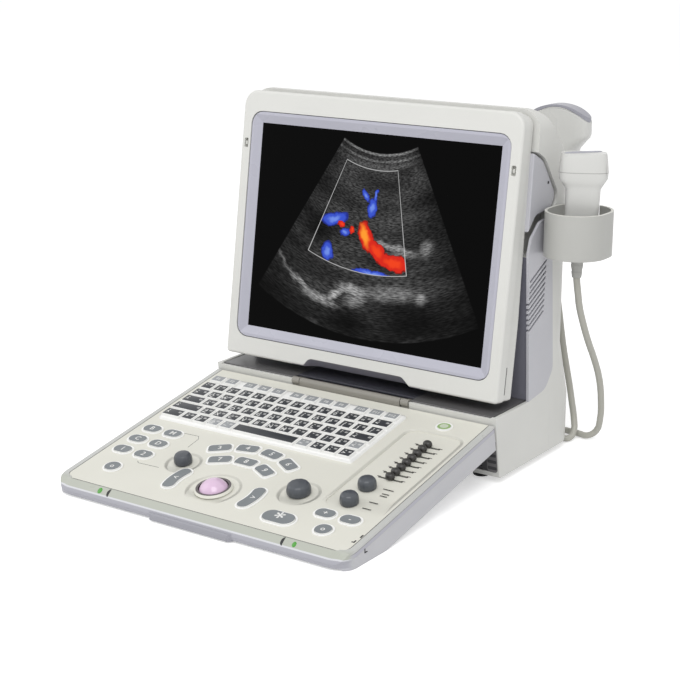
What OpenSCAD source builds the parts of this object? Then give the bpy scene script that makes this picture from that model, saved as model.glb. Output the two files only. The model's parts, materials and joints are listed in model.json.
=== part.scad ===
// Portable color doppler ultrasound scanner: a console that folds up against a
// tilting monitor, on an upright housing that carries two probe cups.
// Millimetres. +Y points to the rear, +X to the operator's right, z = 0 is the table.

/* [Base and rear housing] */
// Width of the base and rear housing
body_w = 364; // [356:2:372]
// Height of the flat top of the base
base_top = 75; // [74:0.5:77]
// Height of the rubber feet
foot_h = 7; // [5:0.5:9]
// Depth from the console hinge line to the seam with the rear housing
base_depth = 120; // [116:1:124]
// Wall of the moulded housings
wall = 4; // [3:0.5:4.5]
// Rear face of the housing behind the hinge line
rear_face = 157; // [155:1:165]
// How far the foot of the housing bulges past the rear face
bulge = 21; // [16:1:24]
// Height of the housing's rear top edge
cap_top = 381; // [379:1:386]
// Radius of the housing's vertical rear corners
rear_corner_r = 25; // [15:1:25]

/* [Console] */
// Tilt of the console deck, falling to the front
deck_tilt = 11; // [10.5:0.25:11.5]
// Height of the deck at the hinge line
deck_height = 67.1; // [66.5:0.1:67.7]
// Depth of the cream deck plate
deck_depth = 263; // [262:1:275]
// Width of the silver rim at each side of the deck
rim_w = 6; // [5:0.5:8]
// Thickness of the deck plate
deck_t = 2.5; // [2:0.1:3]
// Thickness of the folded console body
console_t = 27.5; // [27:0.25:29]
// Wall of the console's lower shell
case_wall = 2; // [1.6:0.1:2.2]
// Radius of the console's front corners
console_r = 12; // [10:1:16]
// Radius of the hinge barrel
barrel_r = 4.8; // [4.2:0.1:5]
// Radius of the console hinge pin
console_pin_r = 2.5; // [2:0.1:2.8]

/* [Keys and controls] */
// Width and depth of a letter key cap
key_size = 12.7; // [12:0.1:13.2]
// Gap between two key caps in a row
key_gap = 4.9; // [4.4:0.1:5]
// Distance from one row of keys to the next
row_pitch = 16.7; // [16.2:0.1:16.9]
// How far a key cap stands above the deck
key_rise = 5; // [4:0.25:5.5]
// Travel of every key
key_travel = 2; // [1:0.25:2]
// Play between a key and its hole
key_play = 0.4; // [0.3:0.05:0.5]
// Height of the rotary knobs above the deck
knob_h = 11; // [9:0.5:12]
// Radius of the menu knob and the two small knobs
knob_r = 9.5; // [8:0.25:10]
// Radius of the large knob
large_knob_r = 12; // [10:0.25:13]
// Radius of a knob's shaft
shaft_r = 3; // [2:0.25:3.5]
// Running clearance of shafts and pins in their bores
run_play = 0.05; // [0.03:0.01:0.08]
// Radius of the trackball
ball_r = 17; // [15:0.25:17]
// Height of the trackball's ring above the deck
ball_ring_h = 2.5; // [2:0.25:3]
// Distance between two gain sliders
slider_pitch = 10; // [9:0.25:10]
// Travel of a gain slider to each side
slider_travel = 10; // [8:0.5:11]
// Height of a gain slider's knob above the deck
slider_h = 6.5; // [5:0.25:7]

/* [Monitor] */
// Width of the picture
screen_w = 304; // [296:1:308]
// Height of the picture
screen_h = 228; // [220:1:232]
// How far the screen leans back when open
lean = 8.4; // [8:0.1:8.6]
// Height of the picture's centre
screen_z = 232.3; // [232:0.1:233]
// Distance from the hinge line back to the picture's centre
screen_y = 37.2; // [36:0.1:37.4]
// Bezel above the picture
bezel_top = 35.5; // [33:0.5:37]
// Bezel below the picture
bezel_chin = 34; // [32:0.5:34.5]
// How far the bezel stands proud of the glass
bezel_proud = 5; // [4:0.25:6]
// Depth of the front bezel behind the glass
bezel_depth = 9; // [8.5:0.25:10]
// Depth of the monitor behind the glass, at its top
cover_top_d = 17; // [15:0.5:17.5]
// Depth of the monitor behind the glass, at its foot
cover_foot_d = 27; // [25:0.5:27.5]
// Radius of the monitor's upper corners
monitor_r = 13; // [10:1:16]
// Height of the tilt axis above the picture's centre, along the screen
tilt_axis_v = 15.7; // [14:0.1:17]
// Distance of the tilt axis behind the glass
tilt_axis_d = 32.9; // [32.5:0.1:34]
// Radius of the two tilt pins
tilt_pin_r = 3; // [2.5:0.25:3.5]

/* [Probe cups and probes] */
// Outer radius of a probe cup
cup_r = 33; // [31:0.5:35]
// Height of a probe cup
cup_h = 47; // [42:1:52]
// Wall of a probe cup
cup_wall = 3; // [2:0.25:4]
// Height of the right cup's underside
cup_right_z = 232; // [226:1:236]
// Height of the rear cup's underside
cup_rear_z = 228; // [222:1:236]
// Diameter of the probe cords
cord_d = 7.2; // [6.5:0.1:7.6]
// Width of the linear probe's head
linear_w = 50; // [46:1:54]
// Height of the linear probe above its cup's floor
linear_h = 106; // [100:1:112]
// Width of the convex probe's head
convex_w = 72; // [66:1:76]
// Radius of the convex probe's face
convex_r = 57; // [52:1:62]
// Height of the convex probe above its cup's floor
convex_h = 141; // [134:1:146]

/* [Hidden] */
$fn = 48;

half_w = body_w / 2;
seat = 0.3;
play = 0.2;
eps = 0.01;

// Monitor, placed from the picture's centre
monitor_half = half_w - 5;
picture_w = min(screen_w, body_w - 60);
bezel_hi = screen_h / 2 + bezel_top;
bezel_lo = -screen_h / 2 - bezel_chin;
cover_inset = 1.5;
shell_t = 2.5;
ring_frame = 12.5;
lcd_edge = 6;
lcd_t = bezel_depth - 1;
tilt_y = monitor_y(tilt_axis_d, tilt_axis_v);
tilt_z = monitor_z(tilt_axis_d, tilt_axis_v);
tilt_x = 119;
lug_t = 6;
lug_r = 7;
ear_gap = 2;
ear_r = 6.5;

// World y and z of a point d behind the glass and v above the picture's centre
function monitor_y(d, v) = screen_y + d * cos(lean) + v * sin(lean);
function monitor_z(d, v) = screen_z - d * sin(lean) + v * cos(lean);

// Front panel of the housing, clear of the monitor in both end positions
panel_t = 3;
panel_foot = 73.5;
panel_waist = tilt_y - 8.5;
panel_head = monitor_y(cover_top_d, bezel_hi) + 1.7;
cap_foot = min(cap_top - 13, monitor_z(cover_top_d, bezel_hi) - 9.7);

// Housing bands
slope_z = [62, 125];
cover_t = 2.5;
cover_half = half_w - wall - 2;
grille_half = half_w - 12;
grille_z = [foot_h + 6, base_top - 22];
board_posts = [-165, -60, 50];
board_y = [28, 104];
board_z = foot_h + 11;
rake = atan(11 / 66);
front_foot = 1 + (base_top - foot_h) * tan(rake);
side_wall = wall + 1;
pocket_d = 16;
pocket_floor = half_w - pocket_d;
skin_t = 3;
barrel_half = 65.5;
lug_x = barrel_half + 1;
lug_w = 9.5;
channel_half = lug_x + lug_w + 0.5;

// Console frame: s runs forward from the hinge line and n up from the deck
console_half = half_w - 1;
deck_half = console_half - rim_w;
hinge_s = -4.86;
hinge_n = 4.05;
hinge_y = -hinge_s * cos(deck_tilt) - hinge_n * sin(deck_tilt);
hinge_z = deck_height - hinge_s * sin(deck_tilt) + hinge_n * cos(deck_tilt);
rim_d = 8;
channel_z = hinge_z - 10;
nose_s = deck_depth + 12;
// Level of the table seen from the console, just under its shell
function table_n(s) = (0.3 - deck_height + s * sin(deck_tilt)) / cos(deck_tilt);
flat_s = (deck_height - 0.3 - console_t * cos(deck_tilt)) / sin(deck_tilt);
flange_n = -deck_t - 2.1;
board_n = flange_n - 1.6 - key_travel - 0.3;
board_t = 1.6;

// Controls keep their share of the deck's width and depth
fit_x = body_w / 364;
fit_s = deck_depth / 263;
function spot(x, s) = [x * fit_x, s * fit_s];

// Keyboard
tray_x = [-166, 87] * fit_x;
tray_s = [18, 124] * fit_s;
tray_rise = 2;
key_left = -163 * fit_x;
row_1_s = 28.2 * fit_s;
row_2_s = 46.3 * fit_s;
// Each row: cap widths, and the kind of each key: d dark, l light, s space bar
k = key_size;
rows = [
  [[k, k, k, k, k, k, k, k, k, k, k, k, k, 18], "dddddddddddddd"],
  [[17, k, k, k, k, k, k, k, k, k, k, k, k, k], "dddddddddddddd"],
  [[24, k, k, k, k, k, k, k, k, k, k, k, 24], "ddddddddddddd"],
  [[34, k, k, k, k, k, k, k, k, k, k, k, k], "ddddddddddddl"],
  [[22, k, k, k, k, 77, k, k, k, k], "dddllslddd"]
];
function_w = 14.5 * fit_x;
function_x = fit_x * [-156.5, -137, -111.5, -92, -72.5, -47.5, -28, -8.5, 11, 36.5, 56, 75.5];

// Soft keys, knobs and the trackball, as x and s on the deck
ball_at = spot(-12, 220);
oval_size = [21, 13.5];
ovals = [spot(-154, 147), spot(-125.5, 147), spot(-154, 171), spot(-125.5, 171),
  spot(-154, 195), spot(-125.5, 195), spot(119.5, 214.5), spot(148, 214.5)];
rounds = [spot(-139, 228), spot(134, 239)];
round_size = [17, 16];
fan_centre = spot(-13.3, 228);
fan_key = [24, 13];
fan_outer = [87.5 * fit_s, [-30.2, -10.1, 10.1, 30.2]];
fan_inner = [63 * fit_s, [-27, 0, 27]];
kidney_r = 49;
kidney_w = 13;
kidney_half_angle = 15;
freeze_at = spot(82.5, 239.5);
freeze_size = [35, 18.5];
power_at = spot(134, 21);
power_size = [14, 12.5];
skirt_w = 2;
skirt_h = 0.8;
menu_at = spot(-75, 190.5);
large_at = spot(72.5, 192);
knob_a_at = spot(128.5, 156);
knob_b_at = spot(128.5, 187);
slider_at = spot(140, 63);
slider_knob = [9, 7];
stem = [3, 1.6];
gain_field = [104 * fit_x, 168 * fit_x, 38 * fit_s, 200 * fit_s];
field_d = 0.8;
ball_n = ball_ring_h + 0.4 - ball_r * 0.51;

// Coils of spare cord on the table behind the housing
coil_centres = [[62, 250], [-48, 250]];
coil_z = 4.6;
coil_out = 51;
coil_turns = 6;
coil_pitch = 7.9;
coil_step = 7.9;
coil_lead = 8;
sleeve_r = 18;
tray_foot = -deck_t - 1.8;
case_posts = [spot(-160, 10), spot(0, 12), spot(160, 10), spot(-160, 135), spot(95, 135),
  spot(-95, 245), spot(40, 245), spot(160, 130)];
latch_x = monitor_half - 7;
latch_v = 90.6;

// Vents, fan, handle and ports of the rear housing
vent_rows = 10;
vent_pitch = 6;
vent_z = 151;
vent_slant = 26.7;
vent_length = 40;
vent_w = 2.8;
fan_size = 60;
fan_d = 15;
fan_at = [108, 190];
panel_half = pocket_floor - 0.5;
handle_half = 65;
pocket_back = 88;
handle_floor = cap_top - 89;
handle_y = 126;
handle_z = cap_top - 48;
handle_size = [24, 15];
port_x = 38;
port_z = [148, 162];
cord_slot = 12;
plug_cord_y = 192;
tie_w = 8;
tie_t = 0.8;
tie_span = [coil_out - coil_pitch * (coil_turns - 1) / 2 - cord_d / 2 - 0.5,
  coil_out - coil_pitch / 2 + cord_d / 2 + 0.5];
tie_top = coil_z + coil_step + cord_d / 2 + 0.4;

// Cups and probes
cup_straight = 10;
cup_gap = 1;
cup_right = [half_w + cup_gap + cup_r, 103];
cup_rear = [141, rear_face + 10 + cup_r];
cup_floor = 3;
cup_hole = 11;
linear_yaw = 58;
linear_skew = 0.028;
relief_top_r = 8;
relief_foot_r = 4.8;
relief_h = 27;

// Sockets on the rear
io_x = [-135, 92];
io_z = [131, 181];
io_t = 2;
plug_x = [-90, -10];
plug_size = [62, 45, 36];
plug_z = 155;
inlet_at = [70, 155];

// Cord routes, chosen by hand: from each relief to its coil, then from the coil to its plug
linear_route = [
  [217, 103, 200], [217, 106, 190], [216, 112, 176], [216, 121, 158], [216, 136, 133],
  [215, 156, 107], [214, 173, 80], [212, 184, 52], [208, 192, 28], [202, 196, 12],
  [192, 195, 5], [180, 197, 4.6], [160, 199, 4.6], [120, 199, 4.6], [70, 199, 4.6]
];
convex_route = [
  [141, 200, 196], [142, 200, 184], [146, 200, 158], [151, 199, 131], [156, 198, 105],
  [162, 196, 82], [168, 194, 60], [173, 192, 40], [177, 190, 24], [180, 185, 11],
  [179, 177, 4.8], [172, 172, 4.6], [160, 173, 4.6], [140, 181, 4.6], [115, 187, 4.6],
  [70, 187, 4.6], [20, 188, 4.6], [0, 192, 4.6], [-20, 198, 4.6], [-40, 199, 4.6]
];
linear_tail = [
  [54, 199, 12.5], [42, 198, 14], [24, 196, 23], [9, 194, 42], [-2, 192, 68],
  [-8, 192, 94], [-10, 192, 118], [-10, 192, 132]
];
convex_tail = [
  [-56, 199, 12.5], [-66, 198, 15], [-78, 195, 30], [-86, 193, 54],
  [-90, 192, 82], [-90, 192, 110], [-90, 192, 132]
];

// Origin under the middle of the rigid object
reach_right = cup_right[0] + cup_r;
reach_front = nose_s * cos(deck_tilt) - rim_d * sin(deck_tilt);
reach_rear = cup_rear[1] + cup_straight / 2 + sqrt(cup_r * cup_r - cord_slot * cord_slot / 4);
shift = [-(reach_right - half_w) / 2, -(reach_rear - reach_front) / 2, 0];

// Unit vector along v
function unit(v) = v / norm(v);
// Sum of the first n values of a list
function total(v, n) = n <= 0 ? 0 : v[n - 1] + total(v, n - 1);
// Points of the arc that rounds corner b between a and c; each point is [x, y, radius]
function corner(a, b, c) = b[2] == 0 ? [[b[0], b[1]]] :
  let (
    p = [b[0], b[1]],
    u = unit([a[0], a[1]] - p),
    v = unit([c[0], c[1]] - p),
    half = acos(u * v) / 2,
    centre = p + unit(u + v) * b[2] / sin(half),
    start = p + u * b[2] / tan(half) - centre,
    end = p + v * b[2] / tan(half) - centre,
    turn = (cross(start, end) > 0 ? 1 : -1) * (180 - 2 * half),
    steps = max(2, ceil(abs(turn) / 15))
  )
  [for (i = [0:steps]) let (t = turn * i / steps)
    centre + [start[0] * cos(t) - start[1] * sin(t), start[0] * sin(t) + start[1] * cos(t)]];
// Closed outline with each corner rounded by its own radius
function rounded(points) = [for (i = [0:len(points) - 1])
  each corner(points[(i + len(points) - 1) % len(points)], points[i], points[(i + 1) % len(points)])];
// Rectangle from its low and high corners, with one corner radius
function box_outline(low, high, r) = rounded([[low[0], low[1], r], [high[0], low[1], r],
  [high[0], high[1], r], [low[0], high[1], r]]);

// Extrudes a side profile, drawn in y and z, over the given span of x
module across(x0, x1)
  translate([x0, 0, 0])
    rotate([90, 0, 90])
      linear_extrude(x1 - x0)
        children();
// Copies a right-hand piece to the left as well
module both_sides() {
  children();
  mirror([1, 0, 0])
    children();
}
// Moves a piece from the hinge-line frame to the part's own frame
module place()
  translate(shift)
    children();
// Frame of the monitor: y behind the glass, z up the screen from the picture's centre
module on_monitor()
  translate([0, screen_y, screen_z])
    rotate([-lean, 0, 0])
      children();
// Frame of the console: y is minus s, z is n
module on_console()
  translate([0, 0, deck_height])
    rotate([deck_tilt, 0, 0])
      children();
// Puts a control at x and s on the deck
module deck_at(at, n = 0)
  translate([at[0], -at[1], n])
    children();
// Flat oval with round ends
module oval(size, grow = 0) {
  r = min(size[0], size[1]) / 2 + grow;
  run = max(size[0], size[1]) - min(size[0], size[1]);
  translate([-run / 2, 0])
    circle(r);
  translate([run / 2, 0])
    circle(r);
  square([run, 2 * r], center = true);
}

// Side profile of the front panel's front face, closed forward of it
module ahead_of_panel(back = 0)
  polygon([[-60, base_top], [panel_foot + back, base_top], [panel_waist + back, tilt_z],
    [panel_head + back, cap_foot], [-60, cap_foot]]);

// Outline of the hinge cheek and, grown, of its pocket
module cheek_outline(grow = 0)
  polygon(rounded([
    [tilt_y - 24, tilt_z - 4 - grow, 0], [tilt_y - 12, tilt_z + 12 - grow, 6],
    [tilt_y + 6, tilt_z + 30 - grow, 10], [tilt_y + 38 + grow, tilt_z + 33 - grow, 6],
    [tilt_y + 48 + grow, tilt_z + 46, 12], [tilt_y + 18, tilt_z + 86 + grow, 30],
    [tilt_y - 6, tilt_z + 97 + grow, 0], [tilt_y - 24, tilt_z + 97 + grow, 0]]));

// Solid lofted upward through closed rings of points that run clockwise, all of one length
module loft(rings) {
  n = len(rings[0]);
  last = len(rings) - 1;
  polyhedron(
    points = [for (ring = rings) each ring],
    faces = concat(
      [[for (i = [n - 1:-1:0]) i]],
      [[for (i = [0:n - 1]) last * n + i]],
      [for (j = [0:last - 1], i = [0:n - 1]) [j * n + i, j * n + (i + 1) % n, (j + 1) * n + i]],
      [for (j = [0:last - 1], i = [0:n - 1])
        [j * n + (i + 1) % n, (j + 1) * n + (i + 1) % n, (j + 1) * n + i]]
    ),
    convexity = 6
  );
}
// Ring of a rounded oblong of half width a and half depth b at height z
function oblong(a, b, z, yaw = 0, points = 24) = [for (i = [0:points - 1])
  let (
    t = -360 * i / points,
    x = a * sign(cos(t)) * pow(abs(cos(t)), 0.6),
    y = b * sign(sin(t)) * pow(abs(sin(t)), 0.6)
  )
  [x * cos(yaw) - y * sin(yaw), x * sin(yaw) + y * cos(yaw), z]];

// Directions along a route, a side vector carried along it, and points between the chosen ones
function headings(p) = [for (i = [0:len(p) - 1]) unit(p[min(i + 1, len(p) - 1)] - p[max(i - 1, 0)])];
function sides_of(h) = [for (i = 0, v = unit(cross(h[0], [0.3, 1, 0.2])); i < len(h); i = i + 1,
  v = i < len(h) ? unit(v - (v * h[i]) * h[i]) : v) v];
function between(a, b, c, d, t) = 0.5 * (2 * b + (c - a) * t + (2 * a - 5 * b + 4 * c - d) * t * t
  + (3 * b - a - 3 * c + d) * t * t * t);
function smooth(p, cuts) = concat([for (i = [0:len(p) - 2], j = [0:cuts - 1])
  between(p[max(i - 1, 0)], p[i], p[i + 1], p[min(i + 2, len(p) - 1)], j / cuts)], [p[len(p) - 1]]);
// Round tube of diameter d swept along points
module tube(points, d, sides) {
  h = headings(points);
  u = sides_of(h);
  loft([for (i = [0:len(points) - 1]) let (v = cross(h[i], u[i]))
    [for (s = [0:sides - 1]) points[i]
      + d / 2 * (cos(-360 * s / sides) * u[i] + sin(-360 * s / sides) * v)]]);
}

// Base: an open tray whose front carries the grille and the lugs of the console hinge

module base_profile(inset = 0) {
  rise = inset > 0 ? 10 : 0;
  polygon(rounded([
    [1 + inset - rise * tan(rake), base_top + rise, 0],
    [front_foot + inset, foot_h + inset, 3],
    [base_depth + rise, foot_h + inset, 0],
    [base_depth + rise, base_top + rise, 0]]));
}
module hinge_lugs()
  both_sides()
    difference() {
      union() {
        translate([lug_x, hinge_y, hinge_z])
          rotate([0, 90, 0])
            cylinder(h = lug_w, r = barrel_r);
        translate([lug_x, hinge_y - 2.2, channel_z - 3])
          cube([lug_w, 14, hinge_z - channel_z + 3]);
      }
      translate([0, hinge_y, hinge_z])
        rotate([0, 90, 0])
          cylinder(h = half_w, r = console_pin_r + run_play);
    }
module base_housing()
  color("gainsboro")
    place() {
      difference() {
        across(-half_w, half_w)
          base_profile();
        across(-half_w + wall, half_w - wall)
          base_profile(wall);
        // Seat of the top cover, and the lip in front of it
        translate([-cover_half, 5, base_top - cover_t])
          cube([2 * cover_half, base_depth, 10]);
        translate([-cover_half, -5, base_top - 1.5])
          cube([2 * cover_half, 12, 10]);
        // Channel in which the console's barrel turns
        translate([-channel_half, -5, channel_z])
          cube([2 * channel_half, 20, 20]);
        // Window for the front grille
        translate([-grille_half, -5, grille_z[0]])
          cube([2 * grille_half, 25, grille_z[1] - grille_z[0]]);
      }
      hinge_lugs();
      // Ledges that carry the top cover
      both_sides()
        translate([half_w - wall - 5, 16, base_top - cover_t - 6])
          cube([5 + eps, base_depth - 16, 6]);
      // Posts of the main board
      for (x = board_posts, y = board_y)
        translate([x, y, foot_h + wall - eps])
          cylinder(h = board_z - foot_h - wall + eps, r = 4);
    }

module top_cover()
  color("#3a3a3e")
    place()
      difference() {
        translate([-cover_half + play, 5 + play, base_top - cover_t])
          cube([2 * (cover_half - play), panel_foot + panel_t - 5, cover_t]);
        translate([-channel_half, 0, base_top - 5])
          cube([2 * channel_half, 15, 10]);
      }

module front_grille()
  color("#2e2e32")
    place()
      difference() {
        across(-grille_half + play, grille_half - play)
          intersection() {
            difference() {
              base_profile(0.8);
              base_profile(3.2);
            }
            translate([-10, grille_z[0] + play])
              square([40, grille_z[1] - grille_z[0] - 2 * play]);
          }
        for (z = [grille_z[0] + 4 : 5 : grille_z[1] - 6], i = [-3:2])
          translate([i * grille_half / 3.1 + 3, -5, z])
            cube([grille_half / 3.1 - 6, 30, 2.4]);
      }

module feet()
  color("#26262a")
    place()
      for (x = [-half_w + 32, half_w - 32], y = [front_foot + 18, base_depth - 14])
        translate([x, y, 0])
          cylinder(h = foot_h, r1 = 8.5, r2 = 9.5);

module main_board()
  color("#1f5c3a")
    place() {
      difference() {
        translate([board_posts[0] - 6, board_y[0] - 8, board_z])
          cube([board_posts[2] - board_posts[0] + 12, board_y[1] - board_y[0] + 16, 1.6]);
        translate([board_posts[1] + 40, board_y[0] + 30, board_z - 1])
          cylinder(h = 4, r = 2);
      }
      // Processor under its finned heat sink, memory and connector blocks
      translate([board_posts[0] + 50, board_y[0] + 12, board_z + 1.6 - eps])
        difference() {
          cube([46, 46, 16]);
          for (i = [0:8])
            translate([2 + i * 5, -1, 4])
              cube([2.6, 48, 14]);
        }
      for (i = [0:2])
        translate([board_posts[0] + 112 + i * 24, board_y[0] + 6, board_z + 1.6 - eps])
          cube([18, 30, 4]);
      for (i = [0:3])
        translate([board_posts[0] + 8 + i * 50, board_y[1] - 8, board_z + 1.6 - eps])
          cube([36, 9, 9]);
    }

module power_supply()
  color("silver")
    place()
      difference() {
        translate([board_posts[2] + 18, board_y[0], foot_h + wall])
          cube([half_w - wall - board_posts[2] - 26, board_y[1] - board_y[0], 48]);
        for (i = [0:7])
          translate([board_posts[2] + 30 + i * 10, board_y[0] + 14, foot_h + wall + 44])
            cube([5, 50, 10]);
      }

// Rear housing: a shell with a bulging foot, a sloping cap and a handle pocket

// Plan of the housing, with rounded rear corners, at height z
function plan_ring(rear, z) = [for (p = rounded([[-half_w, 40, 0], [-half_w, rear, rear_corner_r],
  [half_w, rear, rear_corner_r], [half_w, 40, 0]])) [p[0], p[1], z]];
module housing_side()
  polygon(rounded([
    [base_depth, foot_h, 0], [rear_face + bulge + 1, foot_h, 26],
    [rear_face + bulge + 1, cap_top - 115, 0], [rear_face - 17, cap_top - 56, 15],
    [rear_face - 60, cap_top - 8, 10], [panel_head + 8, cap_top, 3], [panel_head, cap_top, 0],
    [panel_head, cap_foot, 0], [panel_waist, tilt_z, 0], [panel_foot, base_top, 0],
    [base_depth, base_top, 0]]));
module housing_block()
  intersection() {
    across(-half_w - 1, half_w + 1)
      housing_side();
    // Rounded top corners, seen from the front
    translate([0, 300, 0])
      rotate([90, 0, 0])
        linear_extrude(300)
          polygon(box_outline([-half_w, -60], [half_w, cap_top + 0.1], 22));
    // The foot's bulge leans back into the wall above it
    loft([plan_ring(rear_face + bulge, 0), plan_ring(rear_face + bulge, slope_z[0]),
      plan_ring(rear_face, slope_z[1]), plan_ring(rear_face, cap_top + 10)]);
  }
// Hollow of the housing: wide in front of the rounded corners, narrower behind them
module housing_hollow() {
  across(-half_w + side_wall, half_w - side_wall)
    polygon([[40, base_top - 1], [40, tilt_z - 18], [rear_face - 16, tilt_z - 18],
      [rear_face - 16, foot_h + wall], [base_depth - 1, foot_h + wall],
      [base_depth - 1, base_top - 1]]);
  across(-half_w + rear_corner_r, half_w - rear_corner_r)
    polygon([[rear_face - 17, foot_h + wall], [rear_face - 2, foot_h + wall],
      [rear_face + bulge - wall - 1, foot_h + 25], [rear_face + bulge - wall - 1, slope_z[0] - 2],
      [rear_face - wall, slope_z[1] - 4], [rear_face - wall, tilt_z - 18],
      [rear_face - 17, tilt_z - 18]]);
  difference() {
    across(-half_w + rear_corner_r, half_w - rear_corner_r)
      polygon([[40, tilt_z - 19], [rear_face - wall, tilt_z - 19],
        [rear_face - wall, cap_top - 85], [rear_face - 22, cap_top - 60],
        [rear_face - 63, cap_top - 14], [40, cap_top - 14]]);
    translate([-handle_half - wall, pocket_back - wall, handle_floor - wall])
      cube([2 * (handle_half + wall), 120, 120]);
  }
}

module shoulder_outline(gap = 0)
  polygon(rounded([
    [panel_foot - 2.5, base_top, 0], [tilt_y + 36, base_top + 5, 20],
    [tilt_y + 51.7, base_top + 24, 14], [tilt_y + 42, tilt_z - 25, 0],
    [tilt_y + 42, tilt_z + 25, 5], [tilt_y + 12, tilt_z + 23, 12],
    [tilt_y - 6, tilt_z + 8, 8], [tilt_y - 11, tilt_z - 7, 0]]));

module panel_band()
  intersection() {
    difference() {
      ahead_of_panel(panel_t);
      ahead_of_panel();
    }
    square([200, cap_foot - play]);
  }
module front_panel()
  color("#8e8e9c")
    place()
      difference() {
        union() {
          across(-panel_half, panel_half)
            panel_band();
          across(-half_w + skin_t + play, half_w - skin_t - play)
            intersection() {
              panel_band();
              square([200, tilt_z - 12]);
            }
        }
        // Windows through which the tilt lugs reach their brackets
        both_sides()
          translate([tilt_x - 15, tilt_y - 20, tilt_z - 15])
            cube([30, 40, 30]);
      }

module handle_pocket()
  translate([-handle_half, pocket_back, handle_floor])
    cube([2 * handle_half, 120, 120]);

module rear_housing()
  color("gainsboro")
    place()
      difference() {
        housing_block();
        housing_hollow();
        // Seat of the front panel
        across(-panel_half - play, panel_half + play)
          ahead_of_panel(panel_t);
        across(-half_w + skin_t, half_w - skin_t)
          intersection() {
            ahead_of_panel(panel_t);
            square([200, tilt_z - 12 + play]);
          }
        // Pockets for the monitor's cheeks, and rebates for the side panels
        both_sides() {
          across(pocket_floor, half_w + 1)
            intersection() {
              union() {
                cheek_outline(2.5);
                translate([tilt_y - 24, tilt_z - 20])
                  square([66, 55]);
              }
              translate([0, tilt_z - 11.5])
                square([tilt_y + 56, 200]);
            }
          across(half_w - skin_t, half_w + 1)
            shoulder_outline();
          // Air window behind the vents
          across(half_w - side_wall - 1, half_w)
            translate([tilt_y - 2, vent_z - 6])
              square([34, vent_rows * vent_pitch + 14]);
        }
        handle_pocket();
        // Window and rebate of the socket panel
        translate([io_x[0], rear_face - io_t, io_z[0]])
          cube([io_x[1] - io_x[0], 20, io_z[1] - io_z[0]]);
        translate([io_x[0] + 6, rear_face - 20, io_z[0] + 6])
          cube([io_x[1] - io_x[0] - 12, 30, io_z[1] - io_z[0] - 12]);
      }

// Lilac side panels, each with ten slanting vents
module side_panels()
  color("#b0b0bc")
    place()
      both_sides()
        difference() {
          across(half_w - skin_t, half_w)
            shoulder_outline();
          for (i = [0:vent_rows - 1])
            translate([0, tilt_y - 10 + i * 0.4, vent_z + i * vent_pitch])
              rotate([vent_slant, 0, 0])
                across(half_w - 2 * skin_t, half_w + 1)
                  translate([vent_length / 2, 0])
                    oval([vent_length, vent_w]);
        }

module carry_handle()
  color("gainsboro")
    place()
      across(-handle_half, handle_half)
        translate([handle_y, handle_z])
          rotate(-42)
            polygon(box_outline([-handle_size[0] / 2, -handle_size[1] / 2],
              [handle_size[0] / 2, handle_size[1] / 2], 6));

// Brackets bolted behind the front panel, with the tilt pins and the console's hinge pins
module hinge_brackets()
  color("silver")
    place() {
      both_sides() {
        across(tilt_x - 13, tilt_x + 13)
          difference() {
            translate([tilt_y - 12, tilt_z - 26])
              square([24, 52]);
            ahead_of_panel(panel_t);
            translate([tilt_y - 20, tilt_z - 14])
              square([28.5, 28]);
          }
        for (x = [tilt_x - lug_t / 2 - ear_gap - lug_t, tilt_x + lug_t / 2 + ear_gap])
          across(x, x + lug_t) {
            translate([tilt_y, tilt_z])
              circle(ear_r);
            translate([tilt_y, tilt_z - ear_r])
              square([8.5 + eps, 2 * ear_r]);
          }
        translate([tilt_x - lug_t * 1.5 - ear_gap, tilt_y, tilt_z])
          rotate([0, 90, 0])
            cylinder(h = 3 * lug_t + 2 * ear_gap, r = tilt_pin_r);
      }
      translate([-lug_x - lug_w, hinge_y, hinge_z])
        rotate([0, 90, 0])
          cylinder(h = 2 * (lug_x + lug_w), r = console_pin_r);
    }

module io_panel()
  color("#55555c")
    place()
      difference() {
        union() {
          translate([io_x[0] + play, rear_face - io_t, io_z[0] + play])
            cube([io_x[1] - io_x[0] - 2 * play, io_t, io_z[1] - io_z[0] - 2 * play]);
          // Shells of two small ports
          for (z = port_z)
            translate([port_x - 8, rear_face - 12, z - 4])
              cube([16, 12 - eps, 8]);
        }
        translate([inlet_at[0] - 14, 0, inlet_at[1] - 10])
          cube([28, 300, 20]);
        for (z = port_z)
          translate([port_x - 6.5, rear_face - 10, z - 2.6])
            cube([13, 20, 5.2]);
      }

// Collars of the two probe sockets, and the mains inlet with its three pins
module rear_sockets()
  color("#202024")
    place() {
      for (x = plug_x)
        translate([x, rear_face, plug_z])
          rotate([-90, 0, 0])
            linear_extrude(6)
              difference() {
                polygon(box_outline([-plug_size[0] / 2 - 3.5, -plug_size[2] / 2 - 3.5],
                  [plug_size[0] / 2 + 3.5, plug_size[2] / 2 + 3.5], 5));
                polygon(box_outline([-plug_size[0] / 2 - seat, -plug_size[2] / 2 - seat],
                  [plug_size[0] / 2 + seat, plug_size[2] / 2 + seat], 3.3));
              }
      difference() {
        union() {
          translate([inlet_at[0] - 16, rear_face, inlet_at[1] - 12])
            cube([32, 2, 24]);
          translate([inlet_at[0] - 14 + play, rear_face - 16, inlet_at[1] - 10 + play])
            cube([28 - 2 * play, 16 + eps, 20 - 2 * play]);
        }
        translate([inlet_at[0] - 12, rear_face - 14, inlet_at[1] - 8])
          cube([24, 20, 16]);
      }
      for (x = [-7, 0, 7])
        translate([inlet_at[0] + x - 1, rear_face - 14 - eps, inlet_at[1] - (x == 0 ? -1 : 3)])
          cube([2, 7, 4]);
    }

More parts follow.
